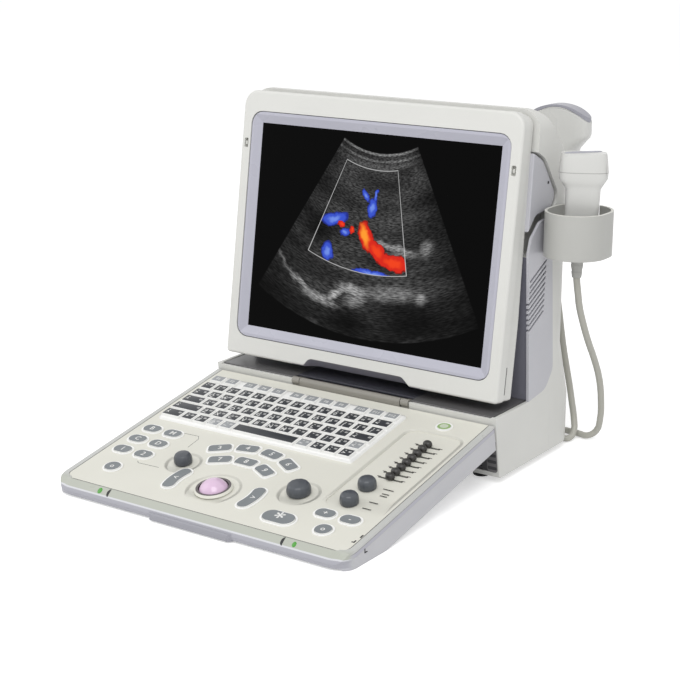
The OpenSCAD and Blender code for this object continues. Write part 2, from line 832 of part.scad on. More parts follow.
// Fan behind the right-hand vents, blowing along x
module fan_frame()
  color("#2a2a2e")
    place()
      translate([half_w - side_wall - fan_d, fan_at[0], fan_at[1]]) {
        difference() {
          translate([0, -fan_size / 2, -fan_size / 2])
            cube([fan_d, fan_size, fan_size]);
          translate([-1, 0, 0])
            rotate([0, 90, 0])
              cylinder(h = fan_d + 2, r = fan_size / 2 - 2);
          for (y = [-1, 1], z = [-1, 1])
            translate([-1, y * (fan_size / 2 - 4.5), z * (fan_size / 2 - 4.5)])
              rotate([0, 90, 0])
                cylinder(h = fan_d + 2, r = 1.8);
        }
        rotate([0, 90, 0]) {
          cylinder(h = 2, r = 11);
          cylinder(h = fan_d - 2, r = 1.5);
        }
        for (a = [45:90:315])
          rotate([a, 0, 0])
            translate([0, -1.5, 0])
              cube([2, 3, fan_size / 2 - 1]);
      }
module fan_rotor()
  color("#1c1c20")
    place()
      translate([half_w - side_wall - fan_d + 3, fan_at[0], fan_at[1]])
        rotate([0, 90, 0])
          difference() {
            union() {
              cylinder(h = fan_d - 5, r = 10);
              for (i = [0:6])
                rotate([0, 0, i * 360 / 7])
                  translate([0, 8, (fan_d - 5) / 2])
                    rotate([0, 38, 0])
                      translate([-5.5, 0, -0.7])
                        cube([11, fan_size / 2 - 12, 1.4]);
            }
            translate([0, 0, -1])
              cylinder(h = fan_d, r = 1.5 + run_play);
          }

// Probe cup: an open stadium with a floor, a cord slot to the rear and an arm to the housing
module cup(at, z)
  translate([at[0], at[1], z])
    difference() {
      linear_extrude(cup_h)
        rotate(90)
          oval([2 * cup_r + cup_straight, 2 * cup_r]);
      translate([0, 0, cup_floor])
        linear_extrude(cup_h)
          rotate(90)
            oval([2 * cup_r + cup_straight, 2 * cup_r], -cup_wall);
      translate([0, 0, -1])
        cylinder(h = cup_floor + 2, r = cup_hole);
      translate([-cord_slot / 2, 0, -1])
        cube([cord_slot, cup_r + cup_straight, cup_h + 2]);
    }
module cup_bore(at)
  translate([at[0], at[1], 0])
    linear_extrude(400)
      rotate(90)
        oval([2 * cup_r + cup_straight, 2 * cup_r], -cup_wall);
module holder_right()
  color("#a8a8a8")
    place() {
      cup(cup_right, cup_right_z);
      difference() {
        translate([half_w, cup_right[1] + 20, cup_right_z + 6])
          cube([cup_gap + cup_r - 10, 15, cup_h - 12]);
        cup_bore(cup_right);
      }
    }
module holder_rear()
  color("#a8a8a8")
    place() {
      cup(cup_rear, cup_rear_z);
      difference() {
        translate([cup_rear[0] - 12, rear_face, cup_rear_z + 6])
          cube([24, cup_rear[1] - rear_face - 10, cup_h - 12]);
        cup_bore(cup_rear);
      }
    }

// Monitor

module screen_outline(edge = 0, r = 1)
  polygon(box_outline([-picture_w / 2 - edge, -screen_h / 2 - edge],
    [picture_w / 2 + edge, screen_h / 2 + edge], r));
module monitor_outline(inset = 0)
  polygon(rounded([
    [-monitor_half + inset, bezel_lo + inset, 8], [monitor_half - inset, bezel_lo + inset, 8],
    [monitor_half - inset, bezel_hi - inset, monitor_r],
    [-monitor_half + inset, bezel_hi - inset, monitor_r]]));
// Extrudes an outline in x and v from depth d0 to depth d1 behind the glass
module slab(d0, d1)
  translate([0, d1, 0])
    rotate([90, 0, 0])
      linear_extrude(d1 - d0)
        children();

module monitor_bezel()
  color("gainsboro")
    place()
      on_monitor()
        difference() {
          slab(-bezel_proud, bezel_depth)
            monitor_outline();
          slab(-bezel_proud - 1, bezel_depth + 1)
            screen_outline(ring_frame + play, 14);
          slab(-1.5, bezel_depth + 1)
            monitor_outline(shell_t);
          // Finger pull in the chin
          translate([0, -bezel_proud - 1, 0])
            rotate([-90, 0, 0])
              linear_extrude(4)
                polygon([[-60, -bezel_lo - 12.5], [60, -bezel_lo - 12.5],
                  [70, -bezel_lo + 1], [-70, -bezel_lo + 1]]);
          // Slots for the console's latch hooks
          both_sides()
            translate([latch_x - 2.5, -bezel_proud - 1, latch_v - 5])
              cube([5, 4, 10]);
        }
module screen_bezel()
  color("#a4a4b6")
    place()
      on_monitor()
        difference() {
          union() {
            slab(-bezel_proud + 0.8, 0)
              screen_outline(ring_frame, 14);
            slab(-1.4, 0)
              screen_outline(ring_frame + 3, 15);
          }
          hull() {
            slab(-bezel_proud, -bezel_proud + 0.9)
              screen_outline(ring_frame - 3, 11);
            slab(-0.5, 0.1)
              screen_outline(0);
          }
          slab(-1, 1)
            screen_outline(0);
        }
module lcd_panel()
  color("#101014")
    place()
      on_monitor()
        slab(0, lcd_t)
          screen_outline(lcd_edge, 2);

module cover_side(inset = 0)
  polygon(rounded([
    [bezel_depth - inset, bezel_lo + cover_inset + inset, 0],
    [cover_foot_d - inset, bezel_lo + cover_inset + inset, 6],
    [cover_foot_d - inset, bezel_lo + 82, 20],
    [cover_top_d - inset, bezel_hi - 50, 20],
    [cover_top_d - inset, bezel_hi - cover_inset - inset, 5],
    [bezel_depth - inset, bezel_hi - cover_inset - inset, 0]]));
module cover_block(inset = 0)
  intersection() {
    across(-monitor_half, monitor_half)
      cover_side(inset);
    slab(0, 60)
      monitor_outline(cover_inset + inset);
  }
module monitor_rear_cover()
  color("gainsboro")
    place()
      on_monitor() {
        difference() {
          union() {
            difference() {
              cover_block();
              cover_block(shell_t);
            }
            both_sides()
              across(tilt_x - lug_t / 2, tilt_x + lug_t / 2)
                translate([tilt_axis_d, tilt_axis_v]) {
                  circle(lug_r);
                  translate([-12, -lug_r])
                    square([12, 2 * lug_r]);
                }
          }
          translate([-half_w, tilt_axis_d, tilt_axis_v])
            rotate([0, 90, 0])
              cylinder(h = body_w, r = tilt_pin_r + run_play);
        }
        // Bosses that carry the picture panel
        intersection() {
          for (x = [-1, 1], v = [-1, 1])
            translate([x * (picture_w / 2 - 30), lcd_t, v * (screen_h / 2 - 24)])
              rotate([-90, 0, 0])
                cylinder(h = 30, r = 5);
          cover_or_front();
        }
      }
module cover_or_front() {
  cover_block(1);
  translate([-monitor_half, 0, bezel_lo])
    cube([2 * monitor_half, bezel_depth, bezel_hi - bezel_lo]);
}

module hinge_cheeks()
  color("#b0b0bc")
    place()
      both_sides()
        difference() {
          across(pocket_floor + 1, half_w - 2)
            cheek_outline();
          on_monitor()
            across(0, body_w)
              polygon(rounded([
                [-60, bezel_lo, 0], [cover_foot_d, bezel_lo, 0],
                [cover_foot_d, bezel_lo + 82, 20], [cover_top_d, bezel_hi - 50, 20],
                [cover_top_d, bezel_hi + 20, 0], [-60, bezel_hi + 20, 0]]));
        }

// Console

// Extrudes a plan outline, drawn in x and s, between two levels of n
module plan(n0, n1)
  translate([0, 0, n0])
    linear_extrude(n1 - n0)
      mirror([0, 1])
        children();
// Extrudes a side outline, drawn in s and n, over the console's width
module console_side(half)
  translate([half, 0, 0])
    rotate([90, 0, -90])
      linear_extrude(2 * half)
        children();
module console_plan(half, end, r)
  polygon(rounded([[-half, 0, 0], [half, 0, 0], [half, end, r], [-half, end, r]]));

module deck_outline(grow = 0)
  console_plan(deck_half + grow, deck_depth + grow, console_r - 1);
module console_trim()
  color("#c4c8c2")
    place()
      on_console()
        difference() {
          intersection() {
            console_side(console_half)
              polygon(rounded([[0, -rim_d, 0], [nose_s, -rim_d, 0],
                [nose_s - 2, -5, 2], [deck_depth + 1, 0.2, 2], [0, 0.2, 0]]));
            plan(-30, 10)
              console_plan(console_half, nose_s, console_r);
          }
          plan(-deck_t, 10)
            deck_outline(play);
          plan(-deck_t, 10)
            translate([-deck_half - play, -10])
              square([2 * (deck_half + play), 30]);
          plan(-30, 10)
            translate([-deck_half + 2.5, 3])
              square([2 * deck_half - 5, deck_depth - 8]);
        }

module case_side(inset = 0) {
  lid = inset > 0 ? 10 : 0;
  polygon(rounded([
    [inset, -rim_d + lid, 0], [inset, -console_t + inset, 0],
    [flat_s, -console_t + inset, 0], [nose_s - 4 - inset, table_n(nose_s - 4) + inset, 2],
    [nose_s - inset, -rim_d - 3.5, 2], [nose_s - inset, -rim_d + lid, 0]]));
}
module case_block(inset = 0)
  intersection() {
    console_side(console_half - inset)
      case_side(inset);
    plan(-50, 20)
      console_plan(console_half - inset, nose_s - inset, console_r - inset / 2);
  }
module console_case()
  color("#b4b4c0")
    place()
      on_console() {
        difference() {
          case_block();
          case_block(case_wall);
        }
        // Posts of the key board
        intersection() {
          case_block(case_wall / 2);
          for (at = case_posts)
            deck_at(at, -console_t)
              cylinder(h = console_t + board_n - board_t, r = 4);
        }
      }

module key_outline(w, d, grow = 0)
  square([w + 2 * grow, d + 2 * grow], center = true);
module fan_outlines(grow = 0) {
  for (ring = [fan_outer, fan_inner], a = ring[1])
    translate([fan_centre[0] + ring[0] * sin(a), -fan_centre[1] + ring[0] * cos(a)])
      rotate(-a)
        polygon(box_outline([-fan_key[0] / 2 - grow, -fan_key[1] / 2 - grow],
          [fan_key[0] / 2 + grow, fan_key[1] / 2 + grow], 4 + grow / 2));
}
// Points of an arc of radius r round the origin or round a centre
function arc(r, a0, a1, steps, at = [0, 0]) = [for (i = [0:steps]) let (a = a0 + (a1 - a0) * i / steps)
  at + r * [cos(a), sin(a)]];
module kidney_outlines(grow = 0)
  for (side = [0, 180])
    translate([ball_at[0], -ball_at[1]])
      rotate(side)
        polygon(concat(
          arc(kidney_r + kidney_w / 2 + grow, -kidney_half_angle, kidney_half_angle, 6),
          arc(kidney_w / 2 + grow, kidney_half_angle + 20, kidney_half_angle + 160, 7,
            kidney_r * [cos(kidney_half_angle), sin(kidney_half_angle)]),
          arc(kidney_r - kidney_w / 2 - grow, kidney_half_angle, -kidney_half_angle, 6),
          arc(kidney_w / 2 + grow, -kidney_half_angle - 160, -kidney_half_angle - 20, 7,
            kidney_r * [cos(kidney_half_angle), -sin(kidney_half_angle)])));
// Outlines of all soft keys, drawn in x and minus s
module soft_outlines(grow = 0) {
  for (at = ovals)
    translate([at[0], -at[1]])
      oval(oval_size, grow);
  for (at = rounds)
    translate([at[0], -at[1]])
      oval(round_size, grow);
  fan_outlines(grow);
  kidney_outlines(grow);
}
module freeze_outline(grow = 0)
  translate([freeze_at[0], -freeze_at[1]])
    oval(freeze_size, grow);
module power_outline(grow = 0)
  translate([power_at[0], -power_at[1]])
    oval(power_size, grow);

// Cream deck plate with its gain field, dishes and openings
module console_top()
  color("#d8d7cd")
    place()
      on_console()
        difference() {
          union() {
            plan(-deck_t, 0)
              deck_outline();
            linear_extrude(skirt_h) {
              soft_outlines(key_play + skirt_w);
              freeze_outline(key_play + skirt_w);
              power_outline(key_play + skirt_w);
            }
          }
          translate([0, 0, -deck_t - 1])
            linear_extrude(10) {
              soft_outlines(key_play);
              freeze_outline(key_play);
              power_outline(key_play);
            }
          plan(-deck_t - 1, 5)
            polygon(box_outline([tray_x[0] - play, tray_s[0] - play],
              [tray_x[1] + play, tray_s[1] + play], 3));
          plan(-field_d, 5)
            polygon(box_outline([gain_field[0], gain_field[2]],
              [gain_field[1], gain_field[3]], 12));
          for (dish = [[menu_at, 21], [large_at, 24], [ball_at, 30]])
            deck_at(dish[0], -1)
              cylinder(h = 1 + eps, r1 = dish[1] - 8, r2 = dish[1]);
          for (at = [menu_at, large_at, knob_a_at, knob_b_at])
            deck_at(at, -deck_t - 1)
              cylinder(h = deck_t + 2, r = shaft_r + 0.3);
          deck_at(ball_at, -deck_t - 1)
            cylinder(h = deck_t + 2, r = sleeve_r + play);
          for (i = [0:7])
            deck_at(slider_at + [0, i * slider_pitch], -deck_t - 1)
              linear_extrude(deck_t + 2)
                oval([2 * slider_travel + stem[0] + 2, stem[1] + 0.8]);
        }

// Rows of key caps: calls its child at each key of one kind
function key_x(row, i) = key_left
  + fit_x * (total(rows[row][0], i) + i * key_gap + rows[row][0][i] / 2);
function row_s(row) = row_2_s + row * row_pitch * fit_s;
module each_key(kinds)
  for (row = [0:len(rows) - 1], i = [0:len(rows[row][0]) - 1])
    if (len(search(rows[row][1][i], kinds)) > 0) {
      $w = rows[row][0][i] * fit_x;
      deck_at([key_x(row, i), row_s(row)])
        children();
    }
module each_function_key()
  for (x = function_x) {
    $w = function_w;
    deck_at([x, row_1_s])
      children();
  }
// Tapered cap over a flange that stops it under its plate
function key_ring(w, d, n) = [[-w / 2, d / 2, n], [w / 2, d / 2, n], [w / 2, -d / 2, n], [-w / 2, -d / 2, n]];
module key_cap(w, flange_top) {
  loft([key_ring(w, key_size, flange_top), key_ring(w - 1.6, key_size - 1.6, key_rise)]);
  translate([0, 0, flange_top - 1.6])
    linear_extrude(1.6)
      key_outline(w, key_size, 0.8);
}
module key_tray()
  color("#e6e6e4")
    place()
      on_console()
        difference() {
          union() {
            plan(-deck_t - eps, tray_rise)
              polygon(box_outline([tray_x[0], tray_s[0]], [tray_x[1], tray_s[1]], 3));
            plan(tray_foot, -deck_t)
              polygon(box_outline([tray_x[0] - 2, tray_s[0] - 2],
                [tray_x[1] + 2, tray_s[1] + 2], 3));
          }
          each_key("dls")
            translate([0, 0, -20])
              linear_extrude(40)
                key_outline($w, key_size, key_play);
          each_function_key()
            translate([0, 0, -20])
              linear_extrude(40)
                key_outline($w, key_size, key_play);
        }
module letter_keys()
  color("#3c3f45")
    place()
      on_console()
        each_key("d")
          key_cap($w, tray_foot - seat);
module space_bar()
  color("#3c3f45")
    place()
      on_console()
        each_key("s")
          key_cap($w, tray_foot - seat);
module function_keys()
  color("#a6a9ab")
    place()
      on_console() {
        each_key("l")
          key_cap($w, tray_foot - seat);
        each_function_key()
          key_cap($w, tray_foot - seat);
      }

// A key that passes the deck: cap above, flange under the plate
module deck_key(rise) {
  translate([0, 0, -deck_t - seat - eps])
    linear_extrude(deck_t + seat + rise)
      children(0);
  translate([0, 0, -deck_t - seat - 1.6])
    linear_extrude(1.6)
      children(1);
}
module soft_keys()
  color("#8f9494")
    place()
      on_console()
        deck_key(3) {
          soft_outlines();
          soft_outlines(0.9);
        }
module freeze_key()
  color("#70757a")
    place()
      on_console()
        deck_key(4) {
          freeze_outline();
          freeze_outline(0.9);
        }
module power_key()
  color("#9aa87c")
    place()
      on_console()
        deck_key(2.5) {
          power_outline();
          power_outline(0.9);
        }

// Board under the keys, with the bushes that the knob shafts turn in
module key_board()
  color("#1f5c3a")
    place()
      on_console()
        difference() {
          union() {
            plan(board_n - board_t, board_n)
              polygon(box_outline([-deck_half + 8, 8], [deck_half - 8, deck_depth - 12], 4));
            for (at = [menu_at, large_at, knob_a_at, knob_b_at])
              deck_at(at, board_n - eps)
                cylinder(h = -deck_t - seat - board_n, r = 6.5);
          }
          for (at = [menu_at, large_at, knob_a_at, knob_b_at])
            deck_at(at, board_n - 10)
              cylinder(h = 30, r = shaft_r + run_play);
          deck_at(ball_at, board_n - 10)
            cylinder(h = 20, r = sleeve_r + 3);
        }

// Ring around the ball above the deck, and the socket that cradles it below
module trackball_ring()
  color("#8c8a90")
    place()
      on_console()
        difference() {
          union() {
            deck_at(ball_at, -deck_t)
              cylinder(h = deck_t + 1, r = sleeve_r);
            deck_at(ball_at, 0)
              cylinder(h = ball_ring_h, r1 = sleeve_r + 1.8, r2 = sleeve_r);
            deck_at(ball_at, -16)
              cylinder(h = 16 - deck_t, r = sleeve_r + 2.2);
          }
          deck_at(ball_at, ball_n)
            sphere(r = ball_r + 0.25);
        }
module trackball()
  color("#d8bcd0")
    place()
      on_console()
        deck_at(ball_at, ball_n)
          sphere(r = ball_r);

// Fluted rotary knob with a softly domed top
module knob(at, r, n = 0.3)
  color("#5a5d62")
    place()
      on_console()
        deck_at(at, n)
          difference() {
            union() {
              rotate_extrude()
                polygon(rounded([[0, 0, 0], [r, 0, 0], [r - 0.8, knob_h - n - 0.6, 2.4],
                  [r - 4, knob_h - n, 3], [0, knob_h - n, 0]]));
              translate([0, 0, board_n - n])
                cylinder(h = n - board_n + eps, r = shaft_r);
            }
            for (i = [0:11])
              rotate(i * 30)
                translate([r + 0.3, 0, 1.4])
                  cylinder(h = knob_h, r = 0.8, $fn = 12);
          }
module knob_menu() knob(menu_at, knob_r);
module knob_large() knob(large_at, large_knob_r);
module knob_a() knob(knob_a_at, knob_r - 0.5, 0);
module knob_b() knob(knob_b_at, knob_r - 0.5, 0);

// Gain slider i: finger piece above the deck, stem in the slot, carriage below
module tgc_slider(i)
  color("#2c2c30")
    place()
      on_console()
        deck_at(slider_at + [0, i * slider_pitch]) {
          translate([-slider_knob[0] / 2, 0, 0])
            rotate([90, 0, 90])
              linear_extrude(slider_knob[0])
                polygon([[-slider_knob[1] / 2, -field_d + seat],
                  [slider_knob[1] / 2, -field_d + seat],
                  [slider_knob[1] / 2 - 1.2, slider_h],
                  [0, slider_h - 1], [-slider_knob[1] / 2 + 1.2, slider_h]]);
          translate([-stem[0] / 2, -stem[1] / 2, -deck_t - 2])
            cube([stem[0], stem[1], deck_t + 2]);
          translate([-4, -2, -deck_t - 2 - seat])
            cube([8, 4, 2]);
        }
module tgc_slider_1() tgc_slider(0);
module tgc_slider_2() tgc_slider(1);
module tgc_slider_3() tgc_slider(2);
module tgc_slider_4() tgc_slider(3);
module tgc_slider_5() tgc_slider(4);
module tgc_slider_6() tgc_slider(5);
module tgc_slider_7() tgc_slider(6);
module tgc_slider_8() tgc_slider(7);

// Barrel bolted to the deck's rear edge; it turns on the pin held by the base
module console_barrel()
  color("#c9c9c6")
    place()
      on_console()
        difference() {
          union() {
            translate([-barrel_half, -hinge_s, hinge_n])
              rotate([0, 90, 0])
                cylinder(h = 2 * barrel_half, r = barrel_r);
            translate([-barrel_half, 0, -4])
              cube([2 * barrel_half, -hinge_s, 7]);
          }
          translate([-barrel_half - 1, -hinge_s, hinge_n])
            rotate([0, 90, 0])
              cylinder(h = 2 * barrel_half + 2, r = console_pin_r + run_play);
        }

// Probes, each lofted from rounded sections, standing in the cups

module at_cup(cup, z, yaw = 0)
  translate([cup[0], cup[1], z + cup_floor + seat])
    rotate(yaw)
      children();
linear_sections = [[0, 12, 8], [4, 17, 10.4], [12, 19.4, 11.4], [44, 20, 11.6], [66, 20.4, 11.8],
  [71, 23, 12.6], [77, 24.8, 13], [84, 25, 13], [99, 25, 13], [103, 24.4, 12.6]];
// Slides each ring of the probe to the right with its height, because the probe leans in its cup
function leant(ring) = [for (q = ring)
  q + q[2] * linear_skew * [cos(linear_yaw), -sin(linear_yaw), 0]];
module linear_probe()
  color("#d2d2ce")
    place()
      at_cup(cup_right, cup_right_z, linear_yaw)
        loft([for (p = linear_sections)
          leant(oblong(p[1] * linear_w / 50, p[2], p[0] * (linear_h - 3) / 103))]);
module linear_lens()
  color("#8c8cb0")
    place()
      at_cup(cup_right, cup_right_z, linear_yaw)
        loft([leant(oblong(linear_w / 2 - 2, 8, linear_h - 3)),
          leant(oblong(linear_w / 2 - 2.4, 7.6, linear_h - 1)),
          leant(oblong(linear_w / 2 - 5, 5, linear_h))]);
convex_sections = [[0, 12, 9], [4, 17, 12], [14, 19.4, 13.6], [60, 20, 14], [86, 20.4, 14.2],
  [94, 23.5, 14.2], [101, 29.5, 14], [106, 34.5, 13.6], [110, 36, 13.4], [134, 36, 13],
  [150, 36, 12.6]];
module convex_form()
  loft([for (p = convex_sections)
    oblong(p[1] * convex_w / 72, p[2], p[0] * convex_h / 141)]);
// Space inside the convex face's cylinder, r in from the face
module face_cylinder(r)
  translate([0, 0, convex_h - convex_r])
    rotate([90, 0, 0])
      cylinder(h = 200, r = convex_r - r, center = true);
module convex_probe()
  color("#d2d2ce")
    place()
      at_cup(cup_rear, cup_rear_z)
        intersection() {
          convex_form();
          union() {
            face_cylinder(4);
            translate([-100, -100, 0])
              cube([200, 200, convex_h - convex_r]);
          }
        }
module convex_lens()
  color("#8c8cb0")
    place()
      at_cup(cup_rear, cup_rear_z)
        difference() {
          intersection() {
            loft([oblong(convex_w / 2, 9, convex_h - 30), oblong(convex_w / 2, 9, convex_h + 5)]);
            face_cylinder(0);
          }
          face_cylinder(3.9);
          translate([-100, -100, 0])
            cube([200, 200, convex_h - 20]);
        }
module relief(cup, z)
  color("#b8b8b4")
    place()
      translate([cup[0], cup[1], z + cup_floor + seat - relief_h])
        rotate_extrude()
          polygon([[0, 0], [relief_foot_r, 0], [relief_foot_r + 0.8, 6], [relief_foot_r + 0.4, 7],
            [relief_foot_r + 1.6, 13], [relief_foot_r + 1.2, 14], [relief_top_r - 0.4, 21],
            [relief_top_r, relief_h], [0, relief_h]]);
module linear_relief() relief(cup_right, cup_right_z);
module convex_relief() relief(cup_rear, cup_rear_z);

// Cords: from the relief to the coil, and from the coil up to the plug
function drop(cup, z) = [cup[0], cup[1], z + cup_floor + seat - relief_h];
module cord(start, route, tail)
  color("#9a9a92")
    place() {
      tube(smooth(concat([start], route), 2), cord_d, 8);
      tube(smooth(tail, 2), cord_d, 8);
    }
module linear_cord() cord(drop(cup_right, cup_right_z), linear_route, linear_tail);
module convex_cord() cord(drop(cup_rear, cup_rear_z), convex_route, convex_tail);

// Coil of the spare cord: spirals in on the lower layer, climbs at the middle, spirals out
function coil_r(t) = coil_out - coil_pitch * min(t, coil_turns - t);
function coil_level(t) = let (u = min(max((t - coil_turns / 2 + 0.25) * 2, 0), 1))
  coil_z + coil_step * u * u * (3 - 2 * u);
function coil_path(centre) = concat(
  [[centre[0] + coil_lead, centre[1] - coil_out, coil_z]],
  [for (i = [0:24 * coil_turns]) let (t = i / 24, a = -90 - 360 * t)
    [centre[0] + coil_r(t) * cos(a), centre[1] + coil_r(t) * sin(a), coil_level(t)]],
  [[centre[0] - coil_lead, centre[1] - coil_out, coil_z + coil_step]]);
module coil(centre)
  color("#9a9a92")
    place()
      tube(coil_path(centre), cord_d, 6);
module linear_coil() coil(coil_centres[0]);
module convex_coil() coil(coil_centres[1]);
coil_points = coil_path(coil_centres[0]);
coil_gap = min([for (i = [0:len(coil_points) - 13], j = [i + 12:len(coil_points) - 1])
  norm(coil_points[i] - coil_points[j])]) - cord_d;
echo("Least gap of a coil to itself, mm", coil_gap);

module probe_plugs()
  color("#c8c8c4")
    place()
      for (x = plug_x) {
        translate([x, rear_face + seat, plug_z])
          rotate([-90, 0, 0])
            difference() {
              linear_extrude(plug_size[1])
                polygon(box_outline([-plug_size[0] / 2, -plug_size[2] / 2],
                  [plug_size[0] / 2, plug_size[2] / 2], 3));
              for (i = [0:3], side = [-1, 1])
                translate([side * (plug_size[0] / 2 + 0.6), 0, 20 + i * 5])
                  cube([3, plug_size[2] - 10, 2], center = true);
            }
        translate([x, plug_cord_y, plug_z - plug_size[2] / 2 - 5])
          cylinder(h = 5 + eps, r1 = relief_foot_r, r2 = relief_foot_r + 1.5);
      }
// Straps around the far side of each coil
module cord_ties()
  color("#1e1e22")
    place()
      for (centre = coil_centres)
        translate([centre[0], centre[1], 0])
          across(-tie_w / 2, tie_w / 2)
            difference() {
              polygon(box_outline([tie_span[0] - tie_t, 0.1], [tie_span[1] + tie_t, tie_top + tie_t], 2));
              polygon(box_outline([tie_span[0], 0.1 + tie_t], [tie_span[1], tie_top], 1.2));
            }

base_housing();
rear_housing();
side_panels();
top_cover();
front_grille();
front_panel();
hinge_brackets();
feet();
main_board();
power_supply();
fan_frame();
fan_rotor();
io_panel();
rear_sockets();
carry_handle();
holder_right();
holder_rear();
monitor_bezel();
screen_bezel();
lcd_panel();
monitor_rear_cover();
hinge_cheeks();
console_top();
console_case();
console_trim();
console_barrel();
key_tray();
key_board();
trackball_ring();
trackball();
knob_menu();
knob_large();
knob_a();
knob_b();
tgc_slider_1();
tgc_slider_2();
tgc_slider_3();
tgc_slider_4();
tgc_slider_5();
tgc_slider_6();
tgc_slider_7();
tgc_slider_8();
function_keys();
letter_keys();
space_bar();
soft_keys();
freeze_key();
power_key();
linear_probe();
linear_lens();
convex_probe();
convex_lens();
linear_relief();
convex_relief();
linear_cord();
convex_cord();
linear_coil();
convex_coil();
probe_plugs();
cord_ties();
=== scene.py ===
"""Looks of a portable color doppler ultrasound scanner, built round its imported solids.

Metres, with +X to the operator's right, +Y to the rear and z = 0 on the table top.
"""

import json
import math

import bpy
from mathutils import Matrix, Vector

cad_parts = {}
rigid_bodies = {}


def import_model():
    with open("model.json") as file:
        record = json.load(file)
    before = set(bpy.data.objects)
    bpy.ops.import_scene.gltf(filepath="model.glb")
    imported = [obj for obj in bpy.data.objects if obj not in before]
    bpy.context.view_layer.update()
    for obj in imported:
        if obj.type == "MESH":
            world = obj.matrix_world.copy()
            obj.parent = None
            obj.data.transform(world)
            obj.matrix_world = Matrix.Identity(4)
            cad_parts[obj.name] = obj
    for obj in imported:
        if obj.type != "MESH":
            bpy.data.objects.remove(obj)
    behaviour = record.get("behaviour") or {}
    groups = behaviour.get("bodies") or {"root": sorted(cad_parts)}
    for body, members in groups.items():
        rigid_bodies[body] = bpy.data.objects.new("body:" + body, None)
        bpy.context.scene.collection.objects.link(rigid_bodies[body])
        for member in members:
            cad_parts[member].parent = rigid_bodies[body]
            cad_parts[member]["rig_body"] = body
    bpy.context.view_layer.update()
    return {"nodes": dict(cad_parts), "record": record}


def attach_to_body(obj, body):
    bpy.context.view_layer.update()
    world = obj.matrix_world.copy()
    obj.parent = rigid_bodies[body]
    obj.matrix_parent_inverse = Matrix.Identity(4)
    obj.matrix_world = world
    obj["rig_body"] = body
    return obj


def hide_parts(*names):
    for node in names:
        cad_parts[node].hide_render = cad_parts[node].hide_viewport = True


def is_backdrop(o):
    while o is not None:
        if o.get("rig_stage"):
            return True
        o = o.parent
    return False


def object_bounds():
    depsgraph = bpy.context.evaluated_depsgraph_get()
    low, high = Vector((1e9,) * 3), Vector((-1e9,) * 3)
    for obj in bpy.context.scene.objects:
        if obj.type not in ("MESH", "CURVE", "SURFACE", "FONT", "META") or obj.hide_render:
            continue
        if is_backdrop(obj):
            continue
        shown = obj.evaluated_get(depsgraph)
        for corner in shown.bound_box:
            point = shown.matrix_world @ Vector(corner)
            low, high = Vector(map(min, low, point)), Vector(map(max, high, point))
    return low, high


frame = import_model()
bpy.ops.object.select_all(action="DESELECT")


# Camera: stands to the operator's right and a little above the monitor, with a long lens,
# so that the console comes forward to the left and the probe cups show at the right.
mm = 0.001
hinge_line = Vector((-33.5, 15.49, 0)) * mm
bpy.ops.object.camera_add(
    location=Vector((934.2, -1356.4, 587.1)) * mm + hinge_line,
    rotation=(math.radians(90 - 15.51), 0, math.radians(34.86)),
)
camera = bpy.context.object
camera.name = "camera"
camera.data.sensor_width = 36
camera.data.lens = 84.44
bpy.context.scene.camera = camera


# Probe cords: round shielded cable in a smooth grey jacket, one from each probe. Each drops
# from its strain relief to the table, is wound into a tied coil and climbs to its socket.
def at(x, y, z):
    """Point measured in millimetres from the middle of the console's hinge line."""
    return Vector((x, y, z)) * mm + hinge_line


def paint(hexcode):
    """Linear RGBA of an sRGB colour such as d0d0cc."""
    parts = [int(hexcode[i : i + 2], 16) / 255 for i in (0, 2, 4)]
    return [c / 12.92 if c <= 0.04045 else ((c + 0.055) / 1.055) ** 2.4 for c in parts] + [1]


def add(material, kind, settings=(), links=()):
    """Adds one shader node, sets its values and links its inputs."""
    made = material.node_tree.nodes.new(kind)
    for name, value in dict(settings).items():
        if isinstance(name, str) and hasattr(made, name) and name not in made.inputs:
            setattr(made, name, value)
        else:
            made.inputs[name].default_value = value
    for name, socket in dict(links).items():
        material.node_tree.links.new(socket, made.inputs[name])
    return made


def finish(name, base, settings):
    """New material whose surface is one Principled shader; gives back both."""
    material = bpy.data.materials.new(name)
    material.use_nodes = True
    material.node_tree.nodes.clear()
    shader = add(material, "ShaderNodeBsdfPrincipled", {"Base Color": paint(base), **settings})
    add(material, "ShaderNodeOutputMaterial", links={"Surface": shader.outputs[0]})
    return material, shader


def moulded(name, base, roughness, grain, depth, spread=0.94, gloss=0.5):
    """Moulded plastic: a fine eroded grain of the given size and depth in mm, broad soft
    changes of tone from handling, and a sheen that varies with them."""
    material, shader = finish(name, base, {"Roughness": roughness, "Specular IOR Level": gloss})
    place = add(material, "ShaderNodeTexCoord").outputs["Object"]
    fine = add(
        material, "ShaderNodeTexNoise", {"Scale": 1 / (grain * mm), "Detail": 2}, {"Vector": place}
    )
    broad = add(material, "ShaderNodeTexNoise", {"Scale": 18, "Detail": 3}, {"Vector": place})
    worn = [c * spread for c in paint(base)[:3]] + [1]
    tone = add(
        material,
        "ShaderNodeMix",
        {"data_type": "RGBA", 6: paint(base), 7: worn},
        {"Factor": broad.outputs["Fac"]},
    )
    sheen = add(
        material,
        "ShaderNodeMapRange",
        {"From Min": 0.3, "From Max": 0.7, "To Min": roughness - 0.05, "To Max": roughness + 0.07},
        {"Value": broad.outputs["Fac"]},
    )
    bump = add(
        material,
        "ShaderNodeBump",
        {"Strength": 0.6, "Distance": depth * mm},
        {"Height": fine.outputs["Fac"]},
    )
    link = material.node_tree.links.new
    link(tone.outputs[2], shader.inputs["Base Color"])
    link(sheen.outputs[0], shader.inputs["Roughness"])
    link(bump.outputs[0], shader.inputs["Normal"])
    return material


